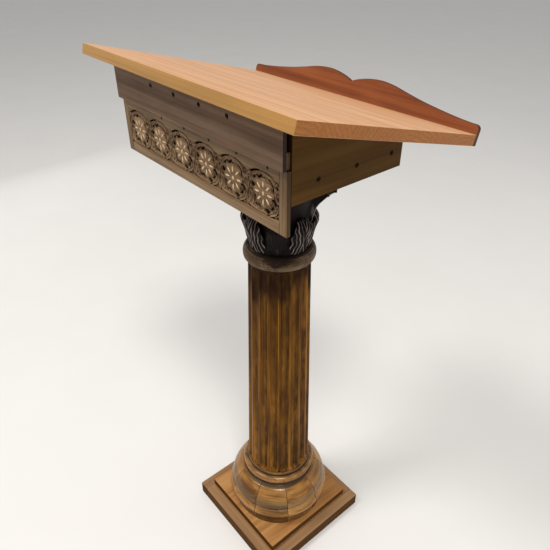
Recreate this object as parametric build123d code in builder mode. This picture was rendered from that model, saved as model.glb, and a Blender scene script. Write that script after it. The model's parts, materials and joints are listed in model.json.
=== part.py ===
"""Column lectern: a fluted wooden column with a carved capital carries a shallow box and a sloping top.

Frame: millimetres, +Z up.  The origin is the centre of the plinth where it stands on the floor.
-Y is the audience side, with the carved front panel and the high edge of the sloping top.
+Y is the reader's side, with the low edge of the top and its book ledge.  +X is the right side.
"""
from build123d import *
from math import cos, radians, sin, sqrt, tan
import os

# ---------------------------------------------------------------- driving dimensions
PLINTH_SIZE = 310.0            # square tier on the floor, over its edge strips
PLINTH_HEIGHT = 38.0
STRIP_WIDTH = 25.0             # edge strips around the plinth's core board
SLAB_SIZE = 258.0              # square slab above it
SLAB_HEIGHT = 22.0

SEAM_COUNT = 9                 # staves in the shaft, and segments in the base moulding
SEAM_ANGLE = 11.0              # direction of the first seam, from +X
SEAM_GAP = 0.1                 # degrees left open at each glue line

BASE_BAND_RADIUS = 118.0       # plain band that stands on the slab
BASE_TORUS_RADIUS = 128.5      # widest point of the lower half-round
BASE_TORUS_HALF_HEIGHT = 12.0
BASE_TORUS_Z = 106.0
BASE_HOLLOW_RADIUS = 58.5
COLLAR_Z = 183.0               # underside of the turned collar under the shaft
COLLAR_RADIUS = 91.3
COLLAR_ROUND = 10.0
COLLAR_LEDGE_RADIUS = 80.5

SHAFT_Z = 215.0
SHAFT_TOP_Z = 815.0
SHAFT_BOTTOM_RADIUS = 77.7
SHAFT_TOP_RADIUS = 64.4
STAVE_THICKNESS = 22.0
FLUTES = 2 * SEAM_COUNT
FLUTE_RADIUS = 12.2            # of the cutter, at the foot of the shaft
FLUTE_OFFSET = 5.2             # cutter centre outside the shaft's surface, at the foot
PLUG_HEIGHT = 60.0

RING_HEIGHT = 28.0             # astragal between shaft and capital

CAPITAL_Z = SHAFT_TOP_Z + RING_HEIGHT
CAPITAL_TOP_Z = 957.0          # underside of the abacus
LEAF_COUNT = 8
LEAF_WIDTH = 42.0
HORN_WIDTH = 20.0
ABACUS_TIP = 110.0             # centre to a corner of the abacus
ABACUS_WAIST = 64.0            # centre to the middle of a hollowed side
ABACUS_TIP_WIDTH = 18.0
ABACUS_LOWER = 9.0
ABACUS_UPPER = 14.0

TOP_WIDTH = 560.0              # sloping top
TOP_DEPTH = 396.0              # along the slope
TOP_THICKNESS = 18.0
TOP_SLOPE = 15.0
TOP_HIGH_Y = -216.0
TOP_HIGH_Z = 1200.0
TOP_PLANKS = 4

LEDGE_THICKNESS = 8.0
LEDGE_END = 15.0               # heights of its outline above the top's surface
LEDGE_HUMP = 43.5
LEDGE_CUSP = 30.0
LEDGE_HUMP_X = 65.0

BOX_HALF_WIDTH = 226.5
BOX_FRONT_Y = -174.0
BOX_BACK_Y = 52.0
BOX_Z = 1060.0                 # underside of the side panels and the floor
PANEL_THICKNESS = 12.0
FLOOR_THICKNESS = 18.0
CLEAT = 18.0                   # square section
CLEAT_GAP = 4.0                # left open at the ends of the floor cleats

CARVING_THICKNESS = 7.0
CARVING_BACK_Y = BOX_FRONT_Y - 0.5
CARVING_FRONT_Y = CARVING_BACK_Y - CARVING_THICKNESS
CARVING_Z = 1015.0
CARVING_TOP_Z = 1112.0
STILE_WIDTH = 16.0
BOTTOM_RAIL_HEIGHT = 16.0
MEDALLIONS = 6
MEDALLION_PITCH = 70.2
MEDALLION_Z = 1064.3
ARCH_CUSP_Z = 1089.0
ARCH_CROWN_Z = 1099.0
FIT = 0.1                      # clearance between close-fitting pieces
PETALS = 8
PETAL_INNER = 8.7
PETAL_OUTER = 18.6
PETAL_WIDTH = 3.6
INLAY_DEPTH = 1.5

PLANK_THICKNESS = 6.5
PLANK_BACK_Y = CARVING_FRONT_Y - 1.5
PLANK_Z = CARVING_TOP_Z + 0.5
BATTEN_HEIGHT = 24.0

ROD_RADIUS = 6.0
ROD_HOLE = 6.6
SCREW_RADIUS = 2.0
SCREW_HOLE = 2.1
HEAD_RADIUS = 3.8
HEAD_HEIGHT = 3.0
NAIL_RADIUS = 1.2

# ---------------------------------------------------------------- dimensions that follow
SLAB_Z = PLINTH_HEIGHT
BASE_Z = SLAB_Z + SLAB_HEIGHT
ABACUS_TOP_Z = CAPITAL_TOP_Z + ABACUS_LOWER + ABACUS_UPPER
FLOOR_TOP_Z = BOX_Z + FLOOR_THICKNESS
STILE_INNER_X = BOX_HALF_WIDTH - STILE_WIDTH
INNER_HALF_WIDTH = BOX_HALF_WIDTH - PANEL_THICKNESS
PLATE_Z = BOX_Z - 18.0
SIDE_SCREW_Y = (-125.0, -49.0, 27.0)
SIDE_SCREW_Z = FLOOR_TOP_Z + CLEAT / 2
PLANK_SCREW_X = (-99.0, -29.5, 40.0, 109.5)
PLANK_SCREW_Z = 1158.0
NAIL_X = (-90.0, -21.0, 48.0, 117.0, 186.0)
NAIL_Z = 1105.5
TOP_SCREW_ALONG = (90.0, 155.0, 225.0)

# The sloping top's own plane: local x is +X, local y runs down the slope from the high edge.
SLOPE_NORMAL = (0, sin(radians(TOP_SLOPE)), cos(radians(TOP_SLOPE)))
TOP_PLANE = Plane(origin=(0, TOP_HIGH_Y, TOP_HIGH_Z), x_dir=(1, 0, 0), z_dir=SLOPE_NORMAL)


def underside(y):
    """Height of the sloping top's lower face above the floor, at a given y."""
    drop = (y - TOP_HIGH_Y) * tan(radians(TOP_SLOPE))
    return TOP_HIGH_Z - drop - TOP_THICKNESS / cos(radians(TOP_SLOPE))


def radial_plane(angle):
    """Upright plane through the column's axis: local x runs outward, local y runs up."""
    a = radians(angle)
    return Plane(origin=(0, 0, 0), x_dir=(cos(a), sin(a), 0), z_dir=(sin(a), -cos(a), 0))


def save(part, name):
    """Label a finished piece and write it as its own STEP file."""
    part.label = name
    export_step(part, f"parts/{name}.step")


def side_slab(points, x_from, x_to):
    """Add a piece with a given outline in Y and Z, between two X positions."""
    with BuildSketch(Plane.YZ.offset(x_from)) as profile:
        with BuildLine():
            Polyline(*points, close=True)
        make_face()
    extrude(profile.sketch, amount=x_to - x_from)


def front_slab(x_from, x_to, z_from, z_to, y_from, y_to):
    """Add a rectangular piece between the given limits."""
    with Locations(((x_from + x_to) / 2, (y_from + y_to) / 2, (z_from + z_to) / 2)):
        Box(x_to - x_from, y_to - y_from, z_to - z_from)


def screw_hole(plane, depth, radius=SCREW_HOLE):
    """Drill from the plane's face against its normal."""
    with BuildSketch(plane) as hole:
        Circle(radius)
    extrude(hole.sketch, amount=-depth, mode=Mode.SUBTRACT)


def countersink(plane):
    """Cut the conical seat of a screw head into the plane's face."""
    with BuildSketch(plane) as seat:
        Circle(HEAD_RADIUS + FIT)
    extrude(seat.sketch, amount=-HEAD_HEIGHT, taper=30, mode=Mode.SUBTRACT)


def screw(plane, length):
    """Add a countersunk screw whose head is flush with the plane's face."""
    with BuildSketch(plane) as head:
        Circle(HEAD_RADIUS)
    extrude(head.sketch, amount=-HEAD_HEIGHT, taper=30)
    with BuildSketch(plane) as shank:
        Circle(SCREW_RADIUS)
    extrude(shank.sketch, amount=-length)


def rod_hole(z_from, z_to):
    """Drill the tie rod's hole along the column's axis."""
    with BuildSketch(Plane.XY.offset(z_from)) as hole:
        Circle(ROD_HOLE)
    extrude(hole.sketch, amount=z_to - z_from, mode=Mode.SUBTRACT)


os.makedirs("parts", exist_ok=True)

# ---------------------------------------------------------------- plinth
CORE_SIZE = PLINTH_SIZE - 2 * STRIP_WIDTH
STRIP_CHAMFER = 1.0
SLAB_ROUND = 2.0
NUT_RECESS_RADIUS = 20.0
NUT_RECESS_DEPTH = 18.0
PLINTH_SCREW_SPACING = 190.0
PLINTH_SCREW_LENGTH = 52.0
PLINTH_SCREW_SINK = 0.6


def plinth_screw_planes():
    """Planes that face the floor, at the four screws that hold the slab to the core board."""
    half = PLINTH_SCREW_SPACING / 2
    return [
        Plane(origin=(x, y, PLINTH_SCREW_SINK), x_dir=(1, 0, 0), z_dir=(0, 0, -1))
        for x in (-half, half)
        for y in (-half, half)
    ]


with BuildPart() as plinth_core:
    with BuildSketch():
        Rectangle(CORE_SIZE, CORE_SIZE)
    extrude(amount=PLINTH_HEIGHT)
    with BuildSketch(Plane.XY.offset(PLINTH_HEIGHT)):
        Circle(NUT_RECESS_RADIUS)
    extrude(amount=-NUT_RECESS_DEPTH, mode=Mode.SUBTRACT)
    for plane in plinth_screw_planes():
        screw_hole(plane, PLINTH_HEIGHT)
        screw_hole(plane.offset(PLINTH_SCREW_SINK), PLINTH_SCREW_SINK, HEAD_RADIUS + FIT)
        countersink(plane)
save(plinth_core.part, "plinth_core")

with BuildPart() as plinth_screws:
    for plane in plinth_screw_planes():
        screw(plane, PLINTH_SCREW_LENGTH)
save(plinth_screws.part, "plinth_screws")

STRIP_CENTRE = (PLINTH_SIZE - STRIP_WIDTH) / 2
for name, x, y, length_x, length_y in (
    ("left", -STRIP_CENTRE, 0, STRIP_WIDTH, PLINTH_SIZE),
    ("right", STRIP_CENTRE, 0, STRIP_WIDTH, PLINTH_SIZE),
    ("front", 0, -STRIP_CENTRE, CORE_SIZE, STRIP_WIDTH),
    ("back", 0, STRIP_CENTRE, CORE_SIZE, STRIP_WIDTH),
):
    with BuildPart() as strip:
        with BuildSketch():
            with Locations((x, y)):
                Rectangle(length_x, length_y)
        extrude(amount=PLINTH_HEIGHT)
        chamfer(strip.edges().group_by(Axis.Z)[-1], STRIP_CHAMFER)
    save(strip.part, f"plinth_strip_{name}")

with BuildPart() as plinth_slab:
    with BuildSketch(Plane.XY.offset(SLAB_Z)):
        Rectangle(SLAB_SIZE, SLAB_SIZE)
    extrude(amount=SLAB_HEIGHT)
    fillet(plinth_slab.edges().group_by(Axis.Z)[-1], SLAB_ROUND)
    rod_hole(SLAB_Z, BASE_Z)
    for plane in plinth_screw_planes():
        screw_hole(plane, PLINTH_SCREW_LENGTH + 1)
save(plinth_slab.part, "plinth_slab")

# ---------------------------------------------------------------- base moulding, in segments
SEGMENT_ARC = 360 / SEAM_COUNT
BAND_TOP_Z = BASE_TORUS_Z - BASE_TORUS_HALF_HEIGHT
GROOVE_Z = BASE_TORUS_Z + BASE_TORUS_HALF_HEIGHT
GROOVE_RADIUS = BASE_BAND_RADIUS + 2
OVOLO_Z = 128.0
OVOLO = ((123.0, OVOLO_Z), (113.5, 152.0), (94.0, 171.0))      # quarter-round above the groove
SCOTIA = ((94.0, 171.0), (84.6, 174.4), (81.0, COLLAR_Z))      # hollow that undercuts the collar

for index in range(SEAM_COUNT):
    start = SEAM_ANGLE + index * SEGMENT_ARC + SEAM_GAP / 2
    with BuildPart() as segment:
        with BuildSketch(radial_plane(start)):
            with BuildLine():
                Polyline(
                    (BASE_HOLLOW_RADIUS, COLLAR_Z),
                    (BASE_HOLLOW_RADIUS, BASE_Z),
                    (BASE_BAND_RADIUS, BASE_Z),
                    (BASE_BAND_RADIUS, BAND_TOP_Z),
                )
                ThreePointArc(
                    (BASE_BAND_RADIUS, BAND_TOP_Z),
                    (BASE_TORUS_RADIUS, BASE_TORUS_Z),
                    (GROOVE_RADIUS, GROOVE_Z),
                )
                Polyline((GROOVE_RADIUS, GROOVE_Z), (GROOVE_RADIUS, OVOLO_Z), OVOLO[0])
                ThreePointArc(*OVOLO)
                ThreePointArc(*SCOTIA)
                Line(SCOTIA[-1], (BASE_HOLLOW_RADIUS, COLLAR_Z))
            make_face()
        revolve(axis=Axis.Z, revolution_arc=SEGMENT_ARC - SEAM_GAP)
    save(segment.part, f"base_segment_{index + 1}")

with BuildPart() as base_core:
    with BuildSketch(Plane.XY.offset(BASE_Z)):
        Circle(BASE_HOLLOW_RADIUS - 0.5)
    extrude(amount=SHAFT_Z - BASE_Z)
    rod_hole(BASE_Z, SHAFT_Z)
save(base_core.part, "base_core")

COLLAR_INNER_RADIUS = COLLAR_RADIUS - COLLAR_ROUND
COLLAR_ROUND_TOP_Z = COLLAR_Z + 2 * COLLAR_ROUND
COLLAR_GROOVE_RADIUS = COLLAR_LEDGE_RADIUS - 1.5
LEDGE_Z = SHAFT_Z - 7.0        # underside of the thin ledge that the shaft stands on
with BuildPart() as base_collar:
    with BuildSketch(radial_plane(0)):
        with BuildLine():
            Polyline(
                (COLLAR_INNER_RADIUS, COLLAR_Z),
                (BASE_HOLLOW_RADIUS, COLLAR_Z),
                (BASE_HOLLOW_RADIUS, SHAFT_Z),
                (COLLAR_LEDGE_RADIUS, SHAFT_Z),
                (COLLAR_LEDGE_RADIUS, LEDGE_Z),
                (COLLAR_GROOVE_RADIUS, LEDGE_Z),
                (COLLAR_GROOVE_RADIUS, COLLAR_ROUND_TOP_Z),
                (COLLAR_INNER_RADIUS, COLLAR_ROUND_TOP_Z),
            )
            ThreePointArc(
                (COLLAR_INNER_RADIUS, COLLAR_ROUND_TOP_Z),
                (COLLAR_RADIUS, COLLAR_Z + COLLAR_ROUND),
                (COLLAR_INNER_RADIUS, COLLAR_Z),
            )
        make_face()
    revolve(axis=Axis.Z)
save(base_collar.part, "base_collar")

# ---------------------------------------------------------------- shaft, in staves
SHAFT_LENGTH = SHAFT_TOP_Z - SHAFT_Z
TAPER = SHAFT_TOP_RADIUS / SHAFT_BOTTOM_RADIUS
FLUTE_END = 17.0               # from a shaft end to the centre of a flute's round end


def shaft_radius(z):
    """Radius of the shaft's outer surface at a height."""
    share = (z - SHAFT_Z) / SHAFT_LENGTH
    return SHAFT_BOTTOM_RADIUS + share * (SHAFT_TOP_RADIUS - SHAFT_BOTTOM_RADIUS)


def cut_flute(angle):
    """Cut one tapered flute with round ends, its axis leaning with the shaft's surface."""
    low_radius = FLUTE_RADIUS
    high_radius = FLUTE_RADIUS * TAPER
    low = Vector(shaft_radius(SHAFT_Z) + FLUTE_OFFSET, SHAFT_Z + FLUTE_END)
    high = Vector(shaft_radius(SHAFT_TOP_Z) + FLUTE_OFFSET * TAPER, SHAFT_TOP_Z - FLUTE_END)
    along = (high - low).normalized()
    outward = Vector(along.Y, -along.X)
    plane = radial_plane(angle)
    low_tip = low - along * low_radius
    high_tip = high + along * high_radius
    low_rim = low + outward * low_radius
    high_rim = high + outward * high_radius
    half = sqrt(0.5)
    with BuildSketch(plane) as cutter:
        with BuildLine():
            Line(high_tip, low_tip)
            ThreePointArc(low_tip, low + (outward - along) * low_radius * half, low_rim)
            Line(low_rim, high_rim)
            ThreePointArc(high_rim, high + (outward + along) * high_radius * half, high_tip)
        make_face()
    spin = Axis(plane.from_local_coords(low), plane.from_local_coords(high) - plane.from_local_coords(low))
    revolve(cutter.sketch, axis=spin, mode=Mode.SUBTRACT)


for index in range(SEAM_COUNT):
    start = index * SEGMENT_ARC + SEAM_GAP / 2
    with BuildPart() as stave:
        with BuildSketch(radial_plane(start)):
            with BuildLine():
                Polyline(
                    (SHAFT_BOTTOM_RADIUS, SHAFT_Z),
                    (SHAFT_TOP_RADIUS, SHAFT_TOP_Z),
                    (SHAFT_TOP_RADIUS - STAVE_THICKNESS, SHAFT_TOP_Z),
                    (SHAFT_BOTTOM_RADIUS - STAVE_THICKNESS, SHAFT_Z),
                    close=True,
                )
            make_face()
        revolve(axis=Axis.Z, revolution_arc=SEGMENT_ARC - SEAM_GAP)
        for flute in (0.25, 0.75):
            cut_flute((index + flute) * SEGMENT_ARC)
    save(stave.part, f"shaft_stave_{index + 1}")

with BuildPart() as shaft_plugs:
    for z in (SHAFT_Z, SHAFT_TOP_Z - PLUG_HEIGHT):
        lower = shaft_radius(z) - STAVE_THICKNESS - 0.5
        upper = shaft_radius(z + PLUG_HEIGHT) - STAVE_THICKNESS - 0.5
        with Locations((0, 0, z)):
            Cone(lower, upper, PLUG_HEIGHT, align=(Align.CENTER, Align.CENTER, Align.MIN))
    rod_hole(SHAFT_Z, SHAFT_TOP_Z)
save(shaft_plugs.part, "shaft_plugs")

# ---------------------------------------------------------------- neck ring and capital
# Ring profile in radius and height: a tight lower corner, then a full curve up to the capital.
RING_CORNER = ((69.0, SHAFT_TOP_Z), (72.3, SHAFT_TOP_Z + 1.3), (73.6, SHAFT_TOP_Z + 4.5))
RING_CURVE = (RING_CORNER[-1], (72.7, SHAFT_TOP_Z + 18.2), (64.5, CAPITAL_Z))
with BuildPart() as neck_ring:
    with BuildSketch(radial_plane(0)):
        with BuildLine():
            Polyline(RING_CURVE[-1], (ROD_HOLE, CAPITAL_Z), (ROD_HOLE, SHAFT_TOP_Z), RING_CORNER[0])
            ThreePointArc(*RING_CORNER)
            ThreePointArc(*RING_CURVE)
        make_face()
    revolve(axis=Axis.Z)
save(neck_ring.part, "neck_ring")

# Profiles of the capital in radius and height: the bell, and the outer curve of a leaf up to its rolled tip.
BELL_FOOT = (60.0, CAPITAL_Z)
BELL_LIP = (66.0, CAPITAL_TOP_Z - 6)
LEAF_FOOT = (61.5, CAPITAL_Z + 1)
LEAF_TIP = (75.8, 895.0)
LEAF_ROLL_END = (66.0, 917.0)
LEAF_BACK_RADIUS = 50.0
HORN_FOOT = (64.0, 908.0)      # a corner horn springs from the bell and ends under the abacus
HORN_BEND = (78.4, 933.9)
HORN_TIP = (ABACUS_TIP - 9, CAPITAL_TOP_Z)

with BuildPart() as capital_carving:
    with BuildSketch(radial_plane(0)):
        with BuildLine():
            Polyline(BELL_FOOT, (ROD_HOLE, CAPITAL_Z), (ROD_HOLE, CAPITAL_TOP_Z),
                     (BELL_LIP[0], CAPITAL_TOP_Z), BELL_LIP)
            Spline(BELL_LIP, (57.0, 925.0), (55.5, 890.0), BELL_FOOT)
        make_face()
    revolve(axis=Axis.Z)
    for index in range(LEAF_COUNT):
        leaf_plane = radial_plane(index * 360 / LEAF_COUNT)
        with BuildSketch(leaf_plane):
            with BuildLine():
                Spline(LEAF_FOOT, (64.2, 853.0), (68.4, 873.0), LEAF_TIP)
                ThreePointArc(LEAF_TIP, (73.6, 909.0), LEAF_ROLL_END)
                Polyline(
                    LEAF_ROLL_END, (LEAF_BACK_RADIUS, 900.0), (LEAF_BACK_RADIUS, LEAF_FOOT[1]), LEAF_FOOT
                )
            make_face()
        extrude(amount=LEAF_WIDTH / 2, both=True)
    for index in range(4):
        with BuildSketch(radial_plane(45 + 90 * index)):
            with BuildLine():
                ThreePointArc(HORN_FOOT, (69.5, 923.5), HORN_BEND)
                ThreePointArc(HORN_BEND, (90.0, 946.6), HORN_TIP)
                Polyline(
                    HORN_TIP, (LEAF_BACK_RADIUS, CAPITAL_TOP_Z), (LEAF_BACK_RADIUS, HORN_FOOT[1]), HORN_FOOT
                )
            make_face()
        extrude(amount=HORN_WIDTH / 2, both=True)
save(capital_carving.part, "capital_carving")


def abacus_layer(z, height, inset):
    """Add a square layer with hollowed sides and blunt corners."""
    tip = (ABACUS_TIP - inset) / sqrt(2)
    half = ABACUS_TIP_WIDTH / 2 / sqrt(2)
    waist = ABACUS_WAIST - inset
    near, far = tip - half, tip + half
    with BuildSketch(Plane.XY.offset(z)) as layer:
        with BuildLine():
            ThreePointArc((far, -near), (waist, 0), (far, near))
            Line((far, near), (near, far))
            ThreePointArc((near, far), (0, waist), (-near, far))
            Line((-near, far), (-far, near))
            ThreePointArc((-far, near), (-waist, 0), (-far, -near))
            Line((-far, -near), (-near, -far))
            ThreePointArc((-near, -far), (0, -waist), (near, -far))
            Line((near, -far), (far, -near))
        make_face()
    extrude(layer.sketch, amount=height)


with BuildPart() as capital_abacus:
    abacus_layer(CAPITAL_TOP_Z, ABACUS_LOWER, 3.0)
    abacus_layer(CAPITAL_TOP_Z + ABACUS_LOWER, ABACUS_UPPER, 0.0)
    rod_hole(CAPITAL_TOP_Z, ABACUS_TOP_Z)
save(capital_abacus.part, "capital_abacus")

# ---------------------------------------------------------------- block, plate and tie rod
BLOCK_SIZE = 110.0
MOUNTING_PLATE_WIDTH = 240.0
MOUNTING_PLATE_DEPTH = 150.0
MOUNTING_PLATE_Y = -30.0

with BuildPart() as mounting_block:
    with BuildSketch(Plane.XY.offset(ABACUS_TOP_Z)):
        Rectangle(BLOCK_SIZE, BLOCK_SIZE)
    extrude(amount=PLATE_Z - ABACUS_TOP_Z)
    chamfer(mounting_block.edges().filter_by(Axis.Z), 3.0)
    rod_hole(ABACUS_TOP_Z, PLATE_Z)
save(mounting_block.part, "mounting_block")

with BuildPart() as mounting_plate:
    with BuildSketch(Plane.XY.offset(PLATE_Z)):
        with Locations((0, MOUNTING_PLATE_Y)):
            Rectangle(MOUNTING_PLATE_WIDTH, MOUNTING_PLATE_DEPTH)
    extrude(amount=BOX_Z - PLATE_Z)
    chamfer(mounting_plate.edges().filter_by(Axis.Z), 4.0)
    rod_hole(PLATE_Z, BOX_Z)
save(mounting_plate.part, "mounting_plate")

WASHER_THICKNESS = 2.5
WASHER_RADIUS = 15.0
NUT_THICKNESS = 10.0
NUT_FLAT = 9.5                 # centre to a flat of the nut
NUT_GAP = 0.2
ROD_END = 3.0                  # thread that shows beyond a nut
WASHER_TOP_Z = FLOOR_TOP_Z + WASHER_THICKNESS
LOWER_WASHER_Z = SLAB_Z - WASHER_THICKNESS
LOWER_NUT_Z = LOWER_WASHER_Z - NUT_THICKNESS - NUT_GAP
UPPER_NUT_Z = WASHER_TOP_Z + NUT_GAP
ROD_Z = LOWER_NUT_Z - ROD_END
with BuildPart() as tie_rod:
    with BuildSketch(Plane.XY.offset(ROD_Z)):
        Circle(ROD_RADIUS)
    extrude(amount=UPPER_NUT_Z + NUT_THICKNESS + ROD_END - ROD_Z)
    chamfer(tie_rod.edges().group_by(Axis.Z)[-1], 1.0)
save(tie_rod.part, "tie_rod")

with BuildPart() as tie_rod_nuts:
    for z in (LOWER_WASHER_Z, FLOOR_TOP_Z):
        with BuildSketch(Plane.XY.offset(z)):
            Circle(WASHER_RADIUS)
            Circle(ROD_RADIUS + 2 * FIT, mode=Mode.SUBTRACT)
        extrude(amount=WASHER_THICKNESS)
    for z in (LOWER_NUT_Z, UPPER_NUT_Z):
        with BuildSketch(Plane.XY.offset(z)):
            RegularPolygon(NUT_FLAT, 6, major_radius=False)
            Circle(ROD_RADIUS + FIT, mode=Mode.SUBTRACT)
        extrude(amount=NUT_THICKNESS)
save(tie_rod_nuts.part, "tie_rod_nuts")

# ---------------------------------------------------------------- box under the sloping top
with BuildPart() as box_floor:
    front_slab(-INNER_HALF_WIDTH, INNER_HALF_WIDTH, BOX_Z, FLOOR_TOP_Z,
               BOX_FRONT_Y, BOX_BACK_Y - PANEL_THICKNESS)
    rod_hole(BOX_Z, FLOOR_TOP_Z)
save(box_floor.part, "box_floor")


def side_screw_planes(side):
    """Planes on the outer face of one side panel, at its three screws."""
    return [
        Plane(origin=(side * BOX_HALF_WIDTH, y, SIDE_SCREW_Z), x_dir=(0, 1, 0), z_dir=(side, 0, 0))
        for y in SIDE_SCREW_Y
    ]


for name, side in (("left", -1), ("right", 1)):
    outer, inner = side * BOX_HALF_WIDTH, side * INNER_HALF_WIDTH
    with BuildPart() as side_panel:
        side_slab(
            [(BOX_FRONT_Y, BOX_Z), (BOX_BACK_Y, BOX_Z), (BOX_BACK_Y, underside(BOX_BACK_Y)),
             (BOX_FRONT_Y, underside(BOX_FRONT_Y))],
            min(outer, inner), max(outer, inner),
        )
        for plane in side_screw_planes(side):
            screw_hole(plane, PANEL_THICKNESS)
            countersink(plane)
    save(side_panel.part, f"side_panel_{name}")

BACK_INNER_Y = BOX_BACK_Y - PANEL_THICKNESS
with BuildPart() as back_panel:
    side_slab(
        [(BACK_INNER_Y, BOX_Z), (BOX_BACK_Y, BOX_Z), (BOX_BACK_Y, underside(BOX_BACK_Y)),
         (BACK_INNER_Y, underside(BACK_INNER_Y))],
        -INNER_HALF_WIDTH, INNER_HALF_WIDTH,
    )
save(back_panel.part, "back_panel")


def front_planes(xs, z, y):
    """Planes that face the audience, at a row of fixings."""
    return [Plane(origin=(x, y, z), x_dir=(1, 0, 0), z_dir=(0, -1, 0)) for x in xs]


FRONT_INNER_Y = BOX_FRONT_Y + PANEL_THICKNESS
PLANK_FRONT_Y = PLANK_BACK_Y - PLANK_THICKNESS
with BuildPart() as front_board:
    side_slab(
        [(BOX_FRONT_Y, FLOOR_TOP_Z), (FRONT_INNER_Y, FLOOR_TOP_Z), (FRONT_INNER_Y, underside(FRONT_INNER_Y)),
         (BOX_FRONT_Y, underside(BOX_FRONT_Y))],
        -INNER_HALF_WIDTH, INNER_HALF_WIDTH,
    )
    for plane in front_planes(PLANK_SCREW_X, PLANK_SCREW_Z, BOX_FRONT_Y):
        screw_hole(plane, PANEL_THICKNESS)
    for plane in front_planes(NAIL_X, NAIL_Z, BOX_FRONT_Y):
        screw_hole(plane, PANEL_THICKNESS, NAIL_RADIUS + FIT)
save(front_board.part, "front_board")

with BuildPart() as floor_cleats:
    for side in (-1, 1):
        outer, inner = side * INNER_HALF_WIDTH, side * (INNER_HALF_WIDTH - CLEAT)
        front_slab(min(outer, inner), max(outer, inner), FLOOR_TOP_Z, FLOOR_TOP_Z + CLEAT,
                   FRONT_INNER_Y + CLEAT_GAP, BACK_INNER_Y - CLEAT_GAP)
        for plane in side_screw_planes(side):
            screw_hole(plane, PANEL_THICKNESS + CLEAT)
save(floor_cleats.part, "floor_cleats")

with BuildPart() as side_screws:
    for side in (-1, 1):
        for plane in side_screw_planes(side):
            screw(plane, PANEL_THICKNESS + CLEAT - 2)
save(side_screws.part, "side_screws")

# ---------------------------------------------------------------- sloping top
CLEAT_PLANE = TOP_PLANE.offset(-TOP_THICKNESS)
CLEAT_X = INNER_HALF_WIDTH - CLEAT / 2
CLEAT_START = 75.0             # along the slope, from the high edge
CLEAT_END = 240.0
TOP_SCREW_DEPTH = 12.0


def top_screw_planes():
    """Planes on the underside of the sloping cleats, facing down and away from the top."""
    under = CLEAT_PLANE.offset(-CLEAT)
    down = -under.z_dir
    return [
        Plane(origin=under.from_local_coords((side * CLEAT_X, along, 0)), x_dir=(1, 0, 0), z_dir=down)
        for side in (-1, 1)
        for along in TOP_SCREW_ALONG
    ]


with BuildPart() as top_cleats:
    for side in (-1, 1):
        with BuildSketch(CLEAT_PLANE):
            with Locations((side * CLEAT_X, (CLEAT_START + CLEAT_END) / 2)):
                Rectangle(CLEAT, CLEAT_END - CLEAT_START)
        extrude(amount=-CLEAT)
    for plane in top_screw_planes():
        screw_hole(plane, CLEAT)
        countersink(plane)
save(top_cleats.part, "top_cleats")

with BuildPart() as top_screws:
    for plane in top_screw_planes():
        screw(plane, CLEAT + TOP_SCREW_DEPTH)
save(top_screws.part, "top_screws")

PLANK_WIDTH = TOP_DEPTH / TOP_PLANKS
for index in range(TOP_PLANKS):
    with BuildPart() as top_plank:
        with BuildSketch(TOP_PLANE):
            with Locations((0, (index + 0.5) * PLANK_WIDTH)):
                Rectangle(TOP_WIDTH, PLANK_WIDTH)
        extrude(amount=-TOP_THICKNESS)
        for plane in top_screw_planes():
            screw_hole(plane.offset(-CLEAT), TOP_SCREW_DEPTH + 1)
    save(top_plank.part, f"top_plank_{index + 1}")

# The ledge stands at right angles to the top, against its low edge, from the underside upwards.
LOW_EDGE = TOP_PLANE.from_local_coords((0, TOP_DEPTH, 0))
LEDGE_PLANE = Plane(origin=LOW_EDGE, x_dir=(1, 0, 0), z_dir=-TOP_PLANE.y_dir)
HALF_TOP = TOP_WIDTH / 2
with BuildPart() as book_ledge:
    with BuildSketch(LEDGE_PLANE):
        with BuildLine() as outline:
            Spline((0, LEDGE_CUSP), (LEDGE_HUMP_X * 0.4, LEDGE_HUMP - 4.5), (LEDGE_HUMP_X, LEDGE_HUMP),
                   (130, 34.5), (200, 21.0), (HALF_TOP - 8, LEDGE_END))
            Polyline((HALF_TOP - 8, LEDGE_END), (HALF_TOP, LEDGE_END - 6), (HALF_TOP, -TOP_THICKNESS),
                     (0, -TOP_THICKNESS))
            mirror(about=Plane.YZ)
        make_face()
    extrude(amount=-LEDGE_THICKNESS)
save(book_ledge.part, "book_ledge")

# ---------------------------------------------------------------- carved front panel
for name, side in (("left", -1), ("right", 1)):
    outer, inner = side * BOX_HALF_WIDTH, side * (STILE_INNER_X + FIT)
    with BuildPart() as stile:
        front_slab(min(outer, inner), max(outer, inner), CARVING_Z, CARVING_TOP_Z,
                   CARVING_FRONT_Y, CARVING_BACK_Y)
        corner = stile.edges().filter_by(Axis.Y).group_by(Axis.Z)[0].sort_by(Axis.X)[0 if side < 0 else -1]
        fillet(corner, 3.0)
    save(stile.part, f"carved_stile_{name}")

with BuildPart() as carved_bottom_rail:
    front_slab(-STILE_INNER_X, STILE_INNER_X, CARVING_Z, CARVING_Z + BOTTOM_RAIL_HEIGHT,
               CARVING_FRONT_Y, CARVING_BACK_Y)
save(carved_bottom_rail.part, "carved_bottom_rail")

MEDALLION_X = [(index - (MEDALLIONS - 1) / 2) * MEDALLION_PITCH for index in range(MEDALLIONS)]
FRETWORK_Z = CARVING_Z + BOTTOM_RAIL_HEIGHT + FIT
# Local x is +X and local y is +Z on this plane, and its normal faces the audience.
CARVING_PLANE = Plane(origin=(0, CARVING_FRONT_Y, 0), x_dir=(1, 0, 0), z_dir=(0, -1, 0))


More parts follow.
